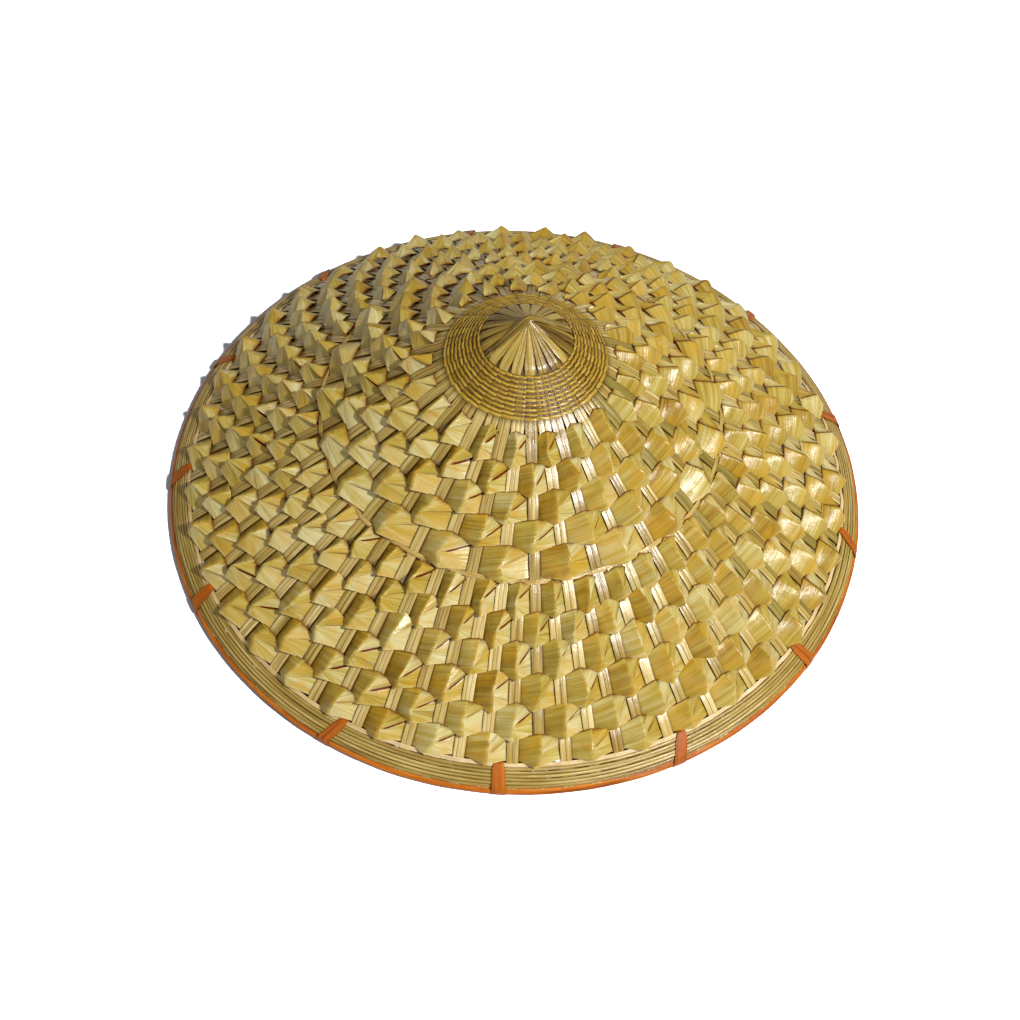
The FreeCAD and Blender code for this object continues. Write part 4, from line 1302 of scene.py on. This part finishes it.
def build_end_knot():
    """A trefoil knot with a smaller one inside it."""
    bag = Bag()
    t = np.linspace(0, 2 * math.pi, 121)[:-1]
    x = np.sin(t) + 1.55 * np.sin(2 * t)
    y = np.cos(t) - 1.55 * np.cos(2 * t)
    z = -1.25 * np.sin(3 * t)
    # size, stretch on each axis, cord radius
    for size, (wide, long, high), radius in ((1.12, (1.0, 1.0, 1.0), 1.28),
                                             (1.1, (0.55, 0.75, 0.5), 1.25)):
        path = in_cord(x * wide * size, 182.5 + y * long * size, z * high * size)
        bag.tube(path, radius, sides=10, closed=True)
    bag.make_object("cord_end_knot_tied", CORD, "cord", "cord_end_knot", body="chin_cord",
                    sharp=80)


# section of the bead: radius, distance along its bore
BEAD_SECTION = np.array([
    (3.05, 0.5), (3.35, 0.08), (4.2, 0.0), (5.3, 0.25), (6.1, 1.1), (6.65, 2.6), (6.85, 4.1),
    (6.72, 4.35), (6.72, 4.65), (6.95, 4.9), (7.0, 6.0), (6.95, 7.1), (6.72, 7.35),
    (6.72, 7.65), (6.85, 7.9), (6.65, 9.4), (6.1, 10.9), (5.3, 11.75), (4.2, 12.0),
    (3.35, 11.92), (3.05, 11.5), (3.05, 6.0),
])


def build_bead():
    bag = Bag()
    radius, along = BEAD_SECTION.T
    count = 72
    angle = (2 * np.pi * np.arange(count) / count)[:, None]
    net = in_cord(np.cos(angle) * radius, 164.0 + along, np.sin(angle) * radius)
    bag.ring(net, along * 3, np.cos(angle) * radius, (0.5, 0.0, 0.5), flip=True)
    bag.make_object("cord_bead_turned", BEAD, "turned_wood", "cord_bead", body="cord_bead",
                    sharp=60)


# ------------------------------------------------------------------ floor, light, camera
def floor_material():
    material, s = new_material("pale_floor")
    mottle = s.noise(s.object_coords(), scale=3.0, detail=3.0, roughness=0.5)
    # the camera sees a bright floor, but a darker one lights the hat
    shown = s.ramp(mottle, [(0.3, (0.520, 0.545, 0.640, 1)), (0.7, (0.545, 0.570, 0.665, 1))])
    seen = s.node("ShaderNodeLightPath").outputs["Is Camera Ray"]
    color = s.mix_color(seen, (0.21, 0.205, 0.19, 1), shown)
    surface = s.node("ShaderNodeBsdfPrincipled", {"Base Color": color, "Roughness": 0.9})
    # it starts to fade 0.34 m from the axis, and a camera below it sees through it
    position = s.node("ShaderNodeNewGeometry").outputs["Position"]
    away = s.node("ShaderNodeVectorMath", {0: position}, operation="LENGTH").outputs["Value"]
    fade = s.multiply(s.subtract(away, 0.34), 2.2, clamp=True)
    eye = s.node("ShaderNodeVectorTransform", {0: (0, 0, 0)}, vector_type="POINT",
                 convert_from="CAMERA", convert_to="WORLD").outputs[0]
    eye_z = s.node("ShaderNodeSeparateXYZ", {0: eye}).outputs[2]
    below = s.calc("LESS_THAN", eye_z, -0.001)
    clear = s.node("ShaderNodeBsdfTransparent").outputs[0]
    shader = s.node("ShaderNodeMixShader",
                    {0: s.maximum(fade, below), 1: surface.outputs[0], 2: clear})
    s.output(shader.outputs[0])
    return material


def build_floor():
    material = floor_material()
    half = 6.0      # metres
    mesh = bpy.data.meshes.new("floor")
    mesh.from_pydata([(-half, -half, 0), (half, -half, 0), (half, half, 0), (-half, half, 0)],
                     [], [(0, 1, 2, 3)])
    mesh.materials.append(material)
    floor = bpy.data.objects.new("floor", mesh)
    bpy.context.scene.collection.objects.link(floor)
    return floor


def build_world():
    """White to the camera, a soft warm light to the hat."""
    world = bpy.data.worlds.new("studio")
    bpy.context.scene.world = world
    world.use_nodes = True
    s = Nodes(world.node_tree)
    warm = world.node_tree.nodes["Background"]
    warm.inputs["Color"].default_value = (1.0, 0.945, 0.81, 1)
    warm.inputs["Strength"].default_value = 0.28
    white = s.node("ShaderNodeBackground", {"Color": (1, 1, 1, 1), "Strength": 1.0})
    seen = s.node("ShaderNodeLightPath").outputs["Is Camera Ray"]
    pick = s.node("ShaderNodeMixShader", {0: seen, 1: warm.outputs[0], 2: white.outputs[0]})
    s.put(pick.outputs[0], world.node_tree.nodes["World Output"].inputs[0])


def area_light(name, location, size, power, color):
    """A round lamp, in metres and watts, aimed at the middle of the hat."""
    light = bpy.data.lights.new(name, "AREA")
    light.shape = "DISK"
    light.size = size
    light.energy = power
    light.color = color
    lamp = bpy.data.objects.new(name, light)
    bpy.context.scene.collection.objects.link(lamp)
    lamp.location = location
    aim = Vector((0, 0, 0.05)) - Vector(location)
    lamp.rotation_euler = aim.to_track_quat("-Z", "Y").to_euler()
    lamp.visible_camera = False
    return lamp


def build_lights(floor):
    key_place = (1.344, -0.976, 2.052)
    area_light("key", key_place, size=0.20, power=78.5, color=(1.0, 0.99, 0.945))
    area_light("fill", (-1.0, -1.75, 1.55), size=1.8, power=8.8, color=(1.0, 0.98, 0.92))
    # this lamp reaches the floor only, so that it stays white around the shadow
    wash = area_light("floor_wash", key_place, size=0.20, power=230.0, color=(1.0, 1.0, 1.0))
    receivers = bpy.data.collections.new("floor_wash_receivers")
    receivers.objects.link(floor)
    wash.light_linking.receiver_collection = receivers
    # the floor hides this one unless the camera is below
    area_light("under", (0.5, -0.9, -1.7), size=1.2, power=42.0, color=(1.0, 0.99, 0.97))


def build_camera():
    distance = 1.000                # metres to the aim point
    elevation = math.radians(55.1)
    roll = math.radians(4.0)
    shift_right, shift_up = -0.0041, -0.0195
    aim = Vector((0, 0, 0.004))
    forward = Vector((0, math.cos(elevation), -math.sin(elevation)))
    level = Vector((1, 0, 0))
    upright = level.cross(forward)
    right = level * math.cos(roll) + upright * math.sin(roll)
    up = -level * math.sin(roll) + upright * math.cos(roll)
    place = -forward * distance + right * shift_right + up * shift_up + aim
    data = bpy.data.cameras.new("camera")
    data.sensor_width = 36.0
    data.lens = 57.352941
    data.clip_start = 0.05
    data.clip_end = 30
    camera = bpy.data.objects.new("camera", data)
    bpy.context.scene.collection.objects.link(camera)
    rows = [(right[k], up[k], -forward[k], place[k]) for k in range(3)]
    camera.matrix_world = Matrix((*rows, (0, 0, 0, 1)))
    bpy.context.scene.camera = camera


def set_view():
    view = bpy.context.scene.view_settings
    view.view_transform = "Standard"
    view.look = "None"
    view.exposure = 0.0
    view.gamma = 1.0


for number, (inner, outer) in enumerate(ROWS, 1):
    build_weft_row(WeftRow(number, inner, outer))
build_arms()
build_twining()
build_binder()
rim_rng = np.random.default_rng(41)      # shared by the filler and the band
build_rim_filler(rim_rng)
build_rim_band(rim_rng)
build_lower_hoop()
build_lashings()
build_head_band()
build_cane_hoop()
build_ring_ties()
build_stirrups()
build_chin_cord()
build_end_knot()
build_bead()
floor = build_floor()
build_world()
build_lights(floor)
build_camera()
set_view()

bpy.context.view_layer.update()
